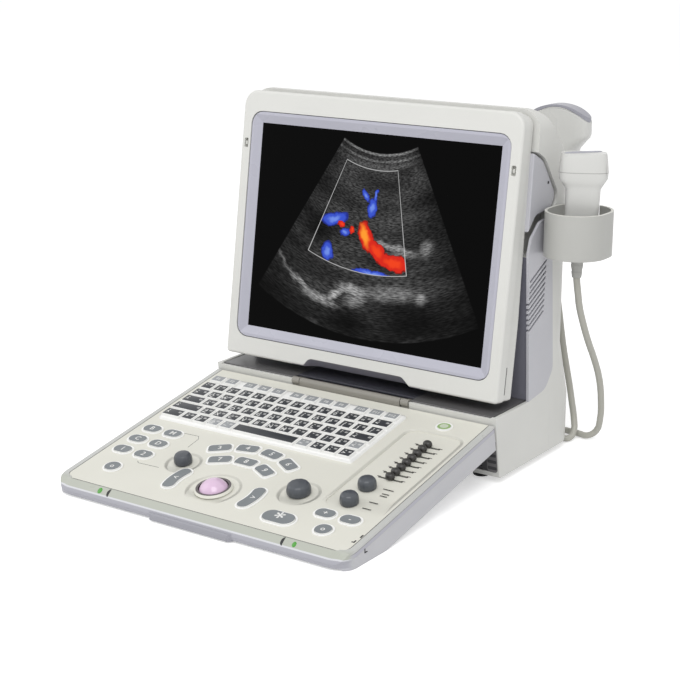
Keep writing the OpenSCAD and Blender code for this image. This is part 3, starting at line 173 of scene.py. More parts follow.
# PVC jacket: drawn smooth, so it has long soft highlights and hardly any grain.
pvc_jacket = moulded("pvc_cable_jacket", "b4b3aa", 0.42, 2.0, 0.02)
cord_d = 7.2
coil_out, coil_turns, coil_pitch, coil_low, coil_lead = 51, 6, 7.9, 4.6, 8


def coil(centre):
    """Points of a flat coil of two layers: it spirals in below, climbs and spirals out above."""
    cx, cy = centre
    points = [(cx + coil_lead, cy - coil_out, coil_low)]
    for i in range(24 * coil_turns + 1):
        t = i / 24
        angle = math.radians(-90 - 360 * t)
        r = coil_out - coil_pitch * min(t, coil_turns - t)
        u = min(max((t - coil_turns / 2 + 0.25) * 2, 0), 1)
        points.append(
            (cx + r * math.cos(angle), cy + r * math.sin(angle), coil_low + coil_pitch * u * u * (3 - 2 * u))
        )
    return points + [(cx - coil_lead, cy - coil_out, coil_low + coil_pitch)]


def cable(name, points):
    """Round cable along points, as one smooth curve that rides on the base."""
    line = bpy.data.curves.new(name, "CURVE")
    line.dimensions = "3D"
    line.bevel_depth = cord_d / 2 * mm
    line.bevel_resolution = 4
    line.resolution_u = 3
    spline = line.splines.new("BEZIER")
    spline.bezier_points.add(len(points) - 1)
    for knot, p in zip(spline.bezier_points, points):
        knot.co = at(*p)
        knot.handle_left_type = knot.handle_right_type = "AUTO"
    piece = bpy.data.objects.new(name, line)
    bpy.context.collection.objects.link(piece)
    piece.data.materials.append(pvc_jacket)
    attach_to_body(piece, "base")
    return piece


linear_route = [
    (216, 103, 208.3), (217, 103, 200), (217, 106, 190), (216, 112, 176), (216, 121, 158),
    (216, 136, 133), (215, 156, 107), (214, 173, 80), (212, 184, 52), (208, 192, 28),
    (202, 196, 12), (192, 195, 5), (180, 197, 4.6), (160, 199, 4.6), (120, 199, 4.6),
]
linear_tail = [
    (42, 198, 14), (24, 196, 23), (9, 194, 42), (-2, 192, 68), (-8, 192, 94),
    (-10, 192, 118), (-10, 192, 132),
]
convex_route = [
    (141, 200, 204.3), (141, 200, 196), (142, 200, 184), (146, 200, 158), (151, 199, 131),
    (156, 198, 105), (162, 196, 82), (168, 194, 60), (173, 192, 40), (177, 190, 24),
    (180, 185, 11), (179, 177, 4.8), (172, 172, 4.6), (160, 173, 4.6), (140, 181, 4.6),
    (115, 187, 4.6), (70, 187, 4.6), (20, 188, 4.6), (0, 192, 4.6), (-20, 198, 4.6),
]
convex_tail = [
    (-66, 198, 15), (-78, 195, 30), (-86, 193, 54), (-90, 192, 82), (-90, 192, 110),
    (-90, 192, 132),
]
linear_cable = cable("linear_probe_cable", linear_route + coil((62, 250)) + linear_tail)
convex_cable = cable("convex_probe_cable", convex_route + coil((-48, 250)) + convex_tail)
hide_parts("linear_cord", "linear_coil")
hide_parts("convex_cord", "convex_coil")


# Base: an open tray moulded in warm white ABS on four rubber feet. Its front carries the grille
# and a channel for the console's hinge; a separate dark cover closes it behind the channel.
def only(piece):
    """Makes piece the one that is selected and active."""
    bpy.ops.object.select_all(action="DESELECT")
    piece.select_set(True)
    bpy.context.view_layer.objects.active = piece


def edit(piece, parts=None, action="SELECT"):
    """Opens a piece's mesh for editing, with all of it selected or none."""
    only(piece)
    bpy.ops.object.mode_set(mode="EDIT")
    if parts:
        bpy.ops.mesh.select_mode(type=parts)
    bpy.ops.mesh.select_all(action=action)


def attach(piece, body, slot, *nodes):
    """Hangs a finished piece on its body and lets it stand for the solids it covers."""
    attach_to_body(piece, body)
    if nodes:
        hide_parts(*nodes)
    return piece


def body_of(node):
    """Name of the body that a solid rides on."""
    return frame["nodes"][node]["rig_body"]


def soften(piece, edge, steps, angle, miter="MITER_SHARP"):
    """Rounds the edges of the active piece that are sharper than an angle, by edge mm."""
    bpy.ops.object.modifier_add(type="BEVEL")
    bevel = piece.modifiers[-1]
    bevel.width = edge * mm
    bevel.segments = steps
    bevel.angle_limit = math.radians(angle)
    bevel.miter_outer = miter
    bpy.ops.object.modifier_apply(modifier=bevel.name)


def skin(piece, material, angle, weight=50):
    """Shades the active piece smooth up to an angle, evens it out and gives its material."""
    bpy.ops.object.shade_smooth_by_angle(angle=math.radians(angle))
    bpy.ops.object.modifier_add(type="WEIGHTED_NORMAL")
    evened = piece.modifiers[-1]
    evened.keep_sharp = True
    evened.weight = weight
    bpy.ops.object.modifier_apply(modifier=evened.name)
    piece.data.materials.clear()
    piece.data.materials.append(material)


def eased(node, edge, material, name, sharp=35, steps=2, melt=True, shaped=None):
    """The solid of a node as one joined skin, its moulding's edges rounded by edge mm and then
    shaped further by a function if one is given."""
    piece = bpy.data.objects.new(name, frame["nodes"][node].data.copy())
    bpy.context.collection.objects.link(piece)
    edit(piece)
    bpy.ops.mesh.remove_doubles(threshold=0.00001)
    if melt:
        bpy.ops.mesh.dissolve_limited(angle_limit=math.radians(1))
    bpy.ops.object.mode_set(mode="OBJECT")
    if edge:
        soften(piece, edge, steps, sharp, "MITER_ARC")
    if shaped:
        shaped(piece)
    skin(piece, material, sharp)
    slot = next(s["material_slot"] for s in frame["record"]["subparts"] if s["node"] == node)
    return attach(piece, body_of(node), slot, node)


def calc(material, operation, *values):
    """Adds a maths node; each value is a number or a socket."""
    made = add(material, "ShaderNodeMath", {"operation": operation})
    for i, value in enumerate(values):
        if isinstance(value, bpy.types.NodeSocket):
            material.node_tree.links.new(value, made.inputs[i])
        else:
            made.inputs[i].default_value = value
    return made.outputs[0]


def chain(material, operation, *values):
    """Carries one operation through several values, as in the product of several masks."""
    made = values[0]
    for value in values[1:]:
        made = calc(material, operation, made, value)
    return made


def measure(material, origin, direction):
    """Distance in mm from a point along a direction, as a socket of the material."""
    spot = add(material, "ShaderNodeTexCoord").outputs["Object"]
    away = add(
        material, "ShaderNodeVectorMath", {"operation": "SUBTRACT", 1: origin}, {0: spot}
    ).outputs[0]
    scaled = [c / mm for c in direction]
    made = add(material, "ShaderNodeVectorMath", {"operation": "DOT_PRODUCT", 1: scaled}, {0: away})
    return made.outputs["Value"]


def within(material, value, low, high):
    """1 where a value lies between two limits."""
    return calc(material, "COMPARE", value, (low + high) / 2, (high - low) / 2)


def tinted(material, under, shade, mask):
    """Colour of a surface with a shade laid over it where the mask is set."""
    mixed = add(
        material, "ShaderNodeMix", {"data_type": "RGBA", 7: paint(shade)}, {0: mask, 6: under}
    )
    return mixed.outputs[2]


def overlay(material, mask, shade):
    """Lays a shade over a material's own colour where the mask is set."""
    colour = material.node_tree.nodes["Principled BSDF"].inputs["Base Color"]
    over = tinted(material, colour.links[0].from_socket, shade, mask)
    material.node_tree.links.new(over, colour)


def block(name, low, high, corner=0, edge=0, place=Matrix()):
    """Cuboid between two corners in mm, its long edges along y rounded by corner and the ones
    round its front face by edge, then set into place."""
    bpy.ops.mesh.primitive_cube_add(size=1)
    piece = bpy.context.object
    piece.name = name
    size = [b - a for a, b in zip(low, high)]
    middle = [(a + b) / 2 for a, b in zip(low, high)]
    piece.data.transform(Matrix.Translation(middle) @ Matrix.Diagonal((*size, 1)))
    for radius, wanted in (
        (corner, lambda a, b: abs(a.y - b.y) > 0.1),
        (edge, lambda a, b: a.y < low[1] + 0.01 and b.y < low[1] + 0.01),
    ):
        if radius:
            bevel_edges(piece, radius, wanted, 5)
    piece.data.transform(place)
    return piece


def bevel_edges(piece, radius, wanted, steps):
    """Rounds the edges of a mesh whose two ends pass a test."""
    edit(piece, "EDGE", "DESELECT")
    bpy.ops.object.mode_set(mode="OBJECT")
    points = piece.data.vertices
    for line in piece.data.edges:
        a, b = (points[i].co for i in line.vertices)
        line.select = bool(wanted(a, b))
    bpy.ops.object.mode_set(mode="EDIT")
    bpy.ops.mesh.bevel(offset=radius, segments=steps, affect="EDGES")
    bpy.ops.object.mode_set(mode="OBJECT")


def joined(name, pieces):
    """Joins pieces into the first and names it."""
    bpy.ops.object.select_all(action="DESELECT")
    for piece in pieces:
        piece.select_set(True)
    bpy.context.view_layer.objects.active = pieces[0]
    if len(pieces) > 1:
        bpy.ops.object.join()
    pieces[0].name = name
    return pieces[0]


def dress(piece, material, angle=35, edge=0, steps=2):
    """Rounds what is still sharp by edge mm, shades a piece by angle and gives its material."""
    only(piece)
    if edge:
        soften(piece, edge, steps, angle)
    skin(piece, material, angle, 100)
    return piece


def slimmed(piece, wanted):
    """Draws the rounds of the hinge in towards its pin, to the girth that the real one shows."""
    for point in piece.data.vertices:
        x, y, z = (point.co - hinge_line) / mm
        if wanted(x, y, z):
            point.co = at(x, pin_y + (y - pin_y) * hinge_girth, pin_z + (z - pin_z) * hinge_girth)


# ABS with a spark-eroded tool finish: satin, warm white, with a fine even grain.
housing_abs = moulded("abs_housing_white", "d6d6d2", 0.46, 1.1, 0.05)
# Black ABS from the same tool: its grain keeps the openings matt and deep. The same black is
# also painted shade, laid behind the side vents and in the slits of the grille's ends.
black_and_shade_abs = moulded("abs_black_and_painted_shade", "222226", 0.55, 1.1, 0.05, 0.8)
# Moulded rubber: charcoal, matt, with a coarser grain and hardly any sheen.
foot_rubber = moulded("moulded_foot_rubber", "2a2a2c", 0.8, 1.4, 0.08, 0.85, 0.3)
# The tray's ABS; painted shade colours it taupe over the hinge channel, which lies in shade.
tray_abs = moulded("abs_tray_white", "d6d6d2", 0.46, 1.1, 0.05)
channel_half = 76.5
pin_y, pin_z, hinge_girth = 4, 70, 0.85
tray_x, tray_y, tray_z = (
    measure(tray_abs, at(0, 0, 0), axis) for axis in ((1, 0, 0), (0, 1, 0), (0, 0, 1))
)
# Mask of the painted shade: the hinge channel between the lugs, at the tray's front.
channel = chain(
    tray_abs,
    "MULTIPLY",
    within(tray_abs, tray_x, -channel_half, channel_half),
    within(tray_abs, tray_y, -3, 16),
    calc(tray_abs, "GREATER_THAN", tray_z, 58.0),
)
overlay(tray_abs, channel, "8e8b84")
base_tray = eased("base_housing", 1.2, tray_abs, "base_tray")
slimmed(base_tray, lambda x, y, z: abs(x) < channel_half and y < 10 and z > 62)
# Slate ABS from a smoother tool, with a longer soft reflection; painted shade darkens it between the lugs,
# over the hinge channel.
cover_abs = moulded("abs_cover_slate", "605f60", 0.34, 1.1, 0.04, 0.92)
cover_x = measure(cover_abs, at(0, 0, 0), (1, 0, 0))
overlay(cover_abs, within(cover_abs, cover_x, -channel_half, channel_half), "44444c")
eased("top_cover", 0.5, cover_abs, "base_cover")
eased("front_grille", 0, black_and_shade_abs, "air_intake_grille", 30, melt=False)
eased("feet", 0.8, foot_rubber, "rubber_feet")
# Ribbed ends carry the grille round to the corners of the front, which leans back.
base_place = Matrix.Translation(hinge_line) @ Matrix.Scale(mm, 4)
front_lean = 0.165
ends, slits = [], []
for side in (-1, 1):
    x = side * 174.4
    ends.append(block("end", (x - 6, 10.85, 13), (x + 6, 11.5, 51), 3.5))
    for level in (16, 23.3, 30.6, 37.9, 44):
        slits.append(block("slit", (x - 5.2, 10.7, level), (x + 5.2, 11.4, level + 3.6), 1.2))
for strip in ends + slits:
    for point in strip.data.vertices:
        point.co.y -= front_lean * (point.co.z - 13)
    strip.data.transform(base_place)
attach(dress(joined("grille_ends", ends), cover_abs, 40), "base", "housing_white")
# The slits are black strips: painted shade for the openings between the ribs.
attach(dress(joined("grille_end_slits", slits), black_and_shade_abs, 40), "base", "grille_dark")


# Rear housing: one deep ABS moulding with a bulging foot, a sloping cap and a pocket for the
# carrying handle. Lilac side panels with slanting vents and a front panel clip into it; the
# front panel is painted dark slate as shade, behind the monitor.

# Lilac-grey ABS from a smoother tool, so its flat sides take a soft even sheen.
lilac_abs = moulded("abs_panel_lilac_grey", "bdbdc3", 0.38, 1.1, 0.04)
# Painted shade: ABS of the housing's grain in dark slate, for the shade that the panel lies in behind the
# monitor.
shaded_panel_abs = moulded("abs_front_panel_painted_shade", "74747f", 0.46, 1.1, 0.04, 0.9)


def recolour(piece, material, wanted):
    """Gives a second material to the faces of a piece that pass a test."""
    piece.data.materials.append(material)
    for face in piece.data.polygons:
        if wanted(face):
            face.material_index = 1


def shaded_behind_vents(face):
    """Whether a face of the housing lies behind the vents of a side panel, where it is painted black as
    shade.
    """
    x, y, z = (face.center - hinge_line) / mm
    return 175 < abs(x) < 179.2 and abs(face.normal.x) > 0.9 and y < 124 and 76 < z < 268


rear_moulding = eased("rear_housing", 1.4, housing_abs, "rear_moulding")
recolour(rear_moulding, black_and_shade_abs, shaded_behind_vents)
eased("side_panels", 0.5, lilac_abs, "vented_side_panels")
eased("front_panel", 0.6, shaded_panel_abs, "front_panel_painted_shade")
eased("carry_handle", 0, housing_abs, "handle_bar")


# Inner works: steel hinge brackets, a green circuit board, a folded steel supply and the fan.
# They show only through the vents and openings, but each has its own finish.

# Zinc-plated sheet steel: a bright metal with the faint clouding that plating leaves.
steel = moulded("zinc_plated_steel", "b4b6b8", 0.34, 3.0, 0.01, 0.9)
steel.node_tree.nodes["Principled BSDF"].inputs["Metallic"].default_value = 1
# Solder mask over glass laminate: green, smooth and slightly glossy.
board_laminate = moulded("solder_mask_green", "1f5c3a", 0.35, 6.0, 0.02, 0.8)
# Glass-filled nylon: black, with a dull, slightly rough skin.
fan_abs = moulded("glass_filled_nylon_black", "1c1c20", 0.5, 1.2, 0.04, 0.8)
eased("hinge_brackets", 0.4, steel, "hinge_brackets_and_pins")
eased("main_board", 0.2, board_laminate, "main_circuit_board")
eased("power_supply", 0.6, steel, "power_supply_case")
eased("fan_frame", 0.4, fan_abs, "fan_housing")
eased("fan_rotor", 0.3, fan_abs, "fan_wheel")
eased("key_board", 0.2, board_laminate, "keyboard_circuit_board")


# Rear connections: a grey metal plate with two small ports, two collars that take the probe
# plugs, a black mains inlet, and the plugs themselves with their thumb grips.

# Powder-coated plate: dark grey with a fine orange-peel surface.
socket_plate = moulded("powder_coated_plate", "55555c", 0.5, 0.8, 0.05, 0.9)
# Light grey ABS from a fine tool: satin, like the probes but less glossy.
plug_abs = moulded("abs_plug_shell", "c9c9c4", 0.44, 1.0, 0.04)
eased("io_panel", 0.4, socket_plate, "socket_plate")
eased("rear_sockets", 0.5, fan_abs, "socket_collars_and_mains_inlet")
eased("probe_plugs", 1.6, plug_abs, "probe_plug_shells")


# Probe cups: thick-walled cups of mid grey ABS on short necks, slotted for the cord. Their
# rims are paler and smoother.

# ABS of the housing's grain, half a tone darker.
cup_abs = moulded("abs_cup_grey", "b6b6b2", 0.45, 1.1, 0.05)
# The same ABS, paler at the rims, with a smaller grain and more sheen.
rim_abs = moulded("abs_cup_rim_pale", "d6d6cf", 0.4, 1.1, 0.03)
for node, name, rim in (
    ("holder_right", "right_probe_cup", 278.2), ("holder_rear", "rear_probe_cup", 274.2),
):
    cup = eased(node, 1.4, cup_abs, name, 35, 3)
    recolour(cup, rim_abs, lambda face: face.center.z > rim * mm)


# Probes: two half shells of off-white ABS with a fine parting line, a lilac silicone lens
# glued into the head, and a tapered relief where the cord leaves.


def hypotenuse(material, a, b):
    """Length of the straight line across two distances at right angles."""
    squares = [calc(material, "MULTIPLY", side, side) for side in (a, b)]
    return calc(material, "SQRT", calc(material, "ADD", *squares))


# Glossier ABS, polished so that it wipes clean; the two halves meet in a fine grey line.
probe_abs = moulded("abs_probe_white", "d4d4d1", 0.3, 1.2, 0.02)
probe_height = measure(probe_abs, at(0, 0, 0), (0, 0, 1))
overlay(probe_abs, within(probe_abs, probe_height, 318.6, 319.4), "a9a9a6")
# Cast silicone: smooth lilac-grey, with a soft sheen.
lens_rubber = moulded("silicone_lens_grey", "a9a9b3", 0.3, 2.0, 0.01, 0.96)
# Moulded elastomer: matt, a little darker than the shell that it leaves.
relief_rubber = moulded("moulded_relief_grey", "b4b4b0", 0.6, 1.2, 0.05, 0.9)
linear_shell = eased("linear_probe", 0, probe_abs, "linear_probe_shell", 60)
eased("convex_probe", 0.6, probe_abs, "convex_probe_shell", 60)
linear_face = eased("linear_lens", 0.3, lens_rubber, "linear_probe_lens", 50)
# The curved lens: the same silicone, with the shell's white and a dark glue line inside its arc.
convex_rubber = moulded("silicone_lens_pale", "9c9ca5", 0.3, 2.0, 0.01, 0.96)
lens_x = measure(convex_rubber, at(141, 0, 0), (1, 0, 0))
lens_z = measure(convex_rubber, at(0, 0, 327.3), (0, 0, 1))
lens_r = hypotenuse(convex_rubber, lens_x, lens_z)
overlay(convex_rubber, calc(convex_rubber, "LESS_THAN", lens_r, 42.6), "d4d4d1")
overlay(convex_rubber, within(convex_rubber, lens_r, 42.2, 42.7), "77777c")
eased("convex_lens", 0.4, convex_rubber, "convex_probe_lens", 50)


def swell(z):
    """Girth of the linear probe at a height, against its solid: a slim grip, a full collar
    half way up the head and a drawn-in top."""
    steps = ((302, 315, 0.14), (325, 337, -0.07))
    girth = 0.87
    for low, high, change in steps:
        share = min(max((z - low) / (high - low), 0), 1)
        girth += change * share * share * (3 - 2 * share)
    return girth


# Where the linear probe stands in its cup, the foot of its grip and the seat of its lens. In
# the cup it is turned, and leans a little against the rim.
stand_x, stand_y, grip_foot, lens_seat = 216, 103, 235.3, 338.3
turned_by = Matrix.Rotation(math.radians(-32), 2)
for piece in (linear_shell, linear_face):
    for point in piece.data.vertices:
        x, y, z = (point.co - hinge_line) / mm
        h = z - grip_foot
        push = min(h / 40, 1) * (2.6 - 0.02 * h)
        aside = min(h / 20, 1) * (0.6 + 0.4 * min(max((308 - z) / 12, 0), 1))
        if piece is linear_shell:
            wide = deep = swell(z)
        else:
            wide, deep = 0.3, 0.98
            z = lens_seat + (z - lens_seat) * 0.35
        across = turned_by @ Vector(((x - stand_x) * wide, (y - stand_y) * deep))
        point.co = at(stand_x + across.x + push + aside, stand_y + across.y + aside, z)
# Grey ABS lozenge let into the shell, which tells the hand which way the probe points.
probe_mark = moulded("abs_mark_grey", "a2a2a0", 0.4, 1.2, 0.02)
mark = block("orientation_mark", (-1.4, -3.2, -4.6), (1.4, 3.2, 4.6))
bevel_edges(mark, 1.0, lambda a, b: True, 3)
mark.data.transform(
    Matrix.Translation(at(237.6, 113.5, 322)) @ Matrix.Rotation(math.radians(28), 4, "Z")
    @ Matrix.Scale(mm, 4)
)
attach(dress(mark, probe_mark, 40), "base", "housing_white")
linear_relief = eased("linear_relief", 0.3, relief_rubber, "linear_probe_relief", 50)
convex_relief = eased("convex_relief", 0.3, relief_rubber, "convex_probe_relief", 50)
straps = eased("cord_ties", 0.1, foot_rubber, "coil_straps")


# Monitor: a front bezel and a rear cover of the housing's ABS, joined half way round the side,
# and two lilac cheeks that cover the tilt hinges.
lean = math.radians(8.4)
monitor_middle = at(0, 37.2, 232.3)
monitor_axes = (
    (1, 0, 0), (0, math.cos(lean), -math.sin(lean)), (0, math.sin(lean), math.cos(lean)),
)
monitor_place = (
    Matrix.Translation(monitor_middle) @ Matrix.Rotation(-lean, 4, "X") @ Matrix.Scale(mm, 4)
)


def on_monitor(name, low, high, corner=0, edge=0):
    """Block whose corners are given from the middle of the leaning screen."""
    return block(name, low, high, corner, edge, monitor_place)


def cut(piece, tool):
    """Takes one solid out of another and drops the tool."""
    only(piece)
    bpy.ops.object.modifier_add(type="BOOLEAN")
    piece.modifiers[-1].object = tool
    piece.modifiers[-1].operation = "DIFFERENCE"
    piece.modifiers[-1].solver = "EXACT"
    bpy.ops.object.modifier_apply(modifier=piece.modifiers[-1].name)
    bpy.data.objects.remove(tool)

# The housing's ABS a touch brighter, with painted shade on the roof of the finger pull.
bezel_abs = moulded("abs_bezel_white", "d8d8d4", 0.46, 1.1, 0.05)
bezel_x, bezel_y, bezel_z = (
    measure(bezel_abs, monitor_middle, axis) for axis in monitor_axes
)
# Mask of the painted shade: the roof of the finger pull.
roof = chain(
    bezel_abs,
    "MULTIPLY",
    within(bezel_abs, bezel_x, -84, 84),
    within(bezel_abs, bezel_y, -4.4, 14),
    within(bezel_abs, bezel_z, -153, -134),
)
overlay(bezel_abs, roof, "8e8c97")
bezel = block("monitor_front", (-177, -5, -148), (177, 9, 149.5))
for rounding, test in (
    (17, lambda a, b: abs(a.y - b.y) > 1 and min(a.z, b.z) > 0),
    (4, lambda a, b: abs(a.y - b.y) > 1 and max(a.z, b.z) < 0 and min(abs(a.x), abs(b.x)) > 176),
    (3, lambda a, b: max(a.y, b.y) < -4.9),
):
    bevel_edges(bezel, rounding, test, 5)
bezel.data.transform(monitor_place)
cut(bezel, on_monitor("hole", (-165, -9, -127), (165, 12, 127), 14))
# The finger pull is a wedge: its roof slopes down to the back, and its ends splay outward
pull = block("pull", (-61, -9, -160), (61, 14, -135.5))
for point in pull.data.vertices:
    if point.co.z > -140:
        point.co.z -= 0.8 * max(point.co.y + 5, 0)
    else:
        point.co.x *= 1.32
bevel_edges(pull, 3.5, lambda a, b: abs(a.y - b.y) > 1 and min(a.z, b.z) > -155, 4)
pull.data.transform(monitor_place)
cut(bezel, pull)
for side in (-1, 1):
    low, high = (side * 170 - 2.6, -9, 85.4), (side * 170 + 2.6, 0, 95.8)
    cut(bezel, on_monitor("slot", low, high, 1.2))
dress(bezel, bezel_abs, 30, 0.5)
attach(bezel, "monitor", "housing_white", "monitor_bezel")
# The rear cover's lower corners are tighter than the solid's: what lies near one moves outwards.
back_half, back_foot = 175.5, -148
monitor_back = eased("monitor_rear_cover", 1.0, housing_abs, "monitor_back")
to_monitor = monitor_place.inverted()
for point in monitor_back.data.vertices:
    x, y, z = to_monitor @ point.co
    inward, rise = back_half - abs(x), z - back_foot
    if inward < 14 and rise < 14:
        x, z = math.copysign(back_half - inward * 0.4, x), rise * 0.4 + back_foot
        point.co = monitor_place @ Vector((x, y, z))
eased("hinge_cheeks", 1.5, lilac_abs, "tilt_cheeks")
screws = [
    block("screw", (x - 0.5, 100.6, 302.6), (x + 0.5, 103.4, 305.4), place=base_place)
    for x in (-180.1, 180.1)
]
attach(dress(joined("cheek_screws", screws), black_and_shade_abs, 40, 0.6, 3), "monitor", "housing_white")
grooves = [
    on_monitor("groove", (x - 0.4, 11, -140), (x + 0.4, 13, -111), 0.3)
    for x in (-175.3, 175.3)
]
attach(dress(joined("side_grooves", grooves), black_and_shade_abs, 40), "monitor", "housing_white")
tabs = [
    on_monitor("tab", (x - 1.1, -4.4, 88.6), (x + 1.1, -0.2, 92.6), 0.6)
    for x in (-170, 170)
]
attach(dress(joined("latch_tabs", tabs), plug_abs, 30, 0.2), "monitor", "housing_white")


# Inner frame of the monitor: a lilac ring moulded with a slope in to the glass. It clips into
# the bezel, and a dark groove shows round it where the two meet.

# Lilac ABS from a smooth tool: the slope shows soft tones and hardly any grain.
frame_abs = moulded("abs_inner_frame_lilac", "b4b4c0", 0.3, 1.1, 0.02)
slope = block("slope", (-161, -9, -123), (161, 3, 123))
for point in slope.data.vertices:
    reach = 145.9 if point.co.y > 0 else 170.4
    point.co.x = math.copysign(reach, point.co.x)
    point.co.z = math.copysign(reach - 38, point.co.z)
slope.data.transform(monitor_place)
ring = on_monitor("inner_frame", (-164.4, -4.4, -126.4), (164.4, -0.1, 126.4), 14, 0.8)
cut(ring, slope)
attach(dress(ring, frame_abs, 20), "monitor", "screen_frame", "screen_bezel")
groove = on_monitor("groove", (-166.2, -3.4, -128.2), (166.2, -0.4, 128.2), 15.2)
cut(groove, on_monitor("hole", (-163, -9, -125), (163, 12, 125), 12))
attach(dress(groove, fan_abs, 30), "monitor", "housing_white")


# Display: a panel behind glossy glass. It shows a scan drawn by its material: a curved-array
# sector of grey speckle with a colour box, blue and red flow and one bright reflecting layer.
def slope_up(material, value, low, high, start=0.0, end=1.0):
    """Smooth step of a value, from start at low to end at high."""
    made = add(
        material,
        "ShaderNodeMapRange",
        {"interpolation_type": "SMOOTHSTEP", "From Min": low, "From Max": high,
         "To Min": start, "To Max": end},
        {"Value": value},
    )
    return made.outputs[0]


def ramp(value, low, high, start=0.0, end=1.0):
    """Smooth step on the picture."""
    return slope_up(display, value, low, high, start, end)


# Coated glass over the panel: black and glossy, so the picture seems to lie just below it.
display, glass = finish("display_glass", "010101", {"Roughness": 0.1, "Specular IOR Level": 0.05})


def times(*masks):
    """Product of several masks on the picture."""
    return chain(display, "MULTIPLY", *masks)


def most(*masks):
    """Largest of several masks on the picture."""
    return chain(display, "MAXIMUM", *masks)


def band(value, low, high, soft):
    """1 between low and high, with soft sides."""
    return times(ramp(value, low - soft, low + soft), ramp(value, high - soft, high + soft, 1.0, 0.0))


across = measure(display, monitor_middle, monitor_axes[0])
up = measure(display, monitor_middle, monitor_axes[2])
flat = add(display, "ShaderNodeCombineXYZ", {}, {0: across, 1: up}).outputs[0]
wobble = add(display, "ShaderNodeTexNoise", {"Scale": 0.11, "Detail": 3}, {"Vector": flat})
warped = add(
    display,
    "ShaderNodeVectorMath",
    {"operation": "MULTIPLY_ADD", 1: (9, 9, 0)},
    {0: wobble.outputs["Color"], 2: flat},
).outputs[0]


def blob(centre, half, turn, soft=0.3):
    """Soft ellipse on the picture, its outline broken a little by the noise."""
    made = add(
        display,
        "ShaderNodeMapping",
        {"vector_type": "TEXTURE", "Location": (centre[0] + 4.5, centre[1] + 4.5, 0),
         "Rotation": (0, 0, math.radians(turn)), "Scale": (half[0], half[1], 1)},
        {"Vector": warped},
    )
    size = add(display, "ShaderNodeVectorMath", {"operation": "LENGTH"}, {0: made.outputs[0]})
    return ramp(size.outputs["Value"], 1 - soft, 1 + soft, 1.0, 0.0)


# The sector's rings are struck from a point above the picture, where the array's middle lies.
out = calc(display, "SUBTRACT", across, 7.5)
down = calc(display, "SUBTRACT", 190.0, up)
radius = hypotenuse(display, out, down)
angle = calc(display, "MULTIPLY", calc(display, "ARCTAN2", out, down), 180 / math.pi)
polar = add(display, "ShaderNodeCombineXYZ", {}, {0: radius, 1: angle}).outputs[0]
stretch = add(
    display, "ShaderNodeVectorMath", {"operation": "MULTIPLY", 1: (1.0, 0.7, 0)}, {0: polar}
).outputs[0]
speckle = add(display, "ShaderNodeTexNoise", {"Scale": 0.8, "Detail": 5}, {"Vector": stretch})
layers = add(display, "ShaderNodeTexNoise", {"Scale": 0.05, "Detail": 4}, {"Vector": stretch})
# Grey tissue, fine speckle over broad layers, with three dark hollows: middle and half axes.
tissue = times(
    ramp(speckle.outputs["Fac"], 0.3, 0.8, 0.01, 0.1), ramp(layers.outputs["Fac"], 0.3, 0.7, 0.4, 1.3)
)
for centre, half in (((-18, -90), (22, 13)), ((62, -78), (38, 15)), ((-64, 4), (18, 14))):
    tissue = times(tissue, calc(display, "SUBTRACT", 1.0, times(blob(centre, half, 0, 0.8), 0.8)))
# Echoes of the skin and the layers under it: lowest and highest radius, softness, glow.
skin_lines = ((96.5, 99.0, 0.5, 0.22), (104.0, 106.0, 1.2, 0.14), (109.0, 113.0, 2.5, 0.06))
# Bright reflecting layers, as soft ellipses: middle, half axes, turn in degrees, glow.
echoes = (
    ((-108, -36), (20, 1.6), -52, 0.3), ((-84, -56), (24, 2.6), -34, 0.5),
    ((-58, -70), (20, 4.2), -16, 0.55), ((-38, -64), (11, 3.4), 34, 0.5),
    ((-14, -56), (18, 4.6), -8, 0.4), ((-10, -66), (12, 6), 20, 0.3),
    ((34, -54), (30, 7), 6, 0.2), ((72, -54), (7, 5), 0, 0.32),
    ((34, -4), (24, 2.8), -8, 0.34), ((46, -10), (16, 3.4), 4, 0.2),
    ((74, 0), (6, 8), -24, 0.3), ((66, 74), (16, 9), -30, 0.1),
    ((46, -112), (26, 5), 24, 0.14), ((-64, -100), (8, 5), -20, 0.14),
)
bright = most(
    *(times(band(radius, low, high, soft), glow) for low, high, soft, glow in skin_lines),
    *(times(blob(centre, half, turn, 0.8), glow) for centre, half, turn, glow in echoes),
)
speck = ramp(speckle.outputs["Fac"], 0.35, 0.7, 0.35, 1.2)
grey = calc(display, "ADD", tissue, times(bright, speck))
fade = times(ramp(angle, -29.0, -15.0, 0.45, 1.0), ramp(angle, 14.0, 30.0, 1.0, 0.18))
depth_fade = ramp(radius, 235.0, 300.0, 1.0, 0.3)
sector = times(band(radius, 96.5, 297.0, 0.7), band(angle, -30.2, 27.6, 0.2))
grey = times(grey, fade, depth_fade, sector)
picture = add(display, "ShaderNodeCombineColor", {}, {0: grey, 1: grey, 2: grey}).outputs[0]
in_box = times(band(radius, 114.5, 226.0, 0.3), band(angle, -21.9, 11.4, 0.1))
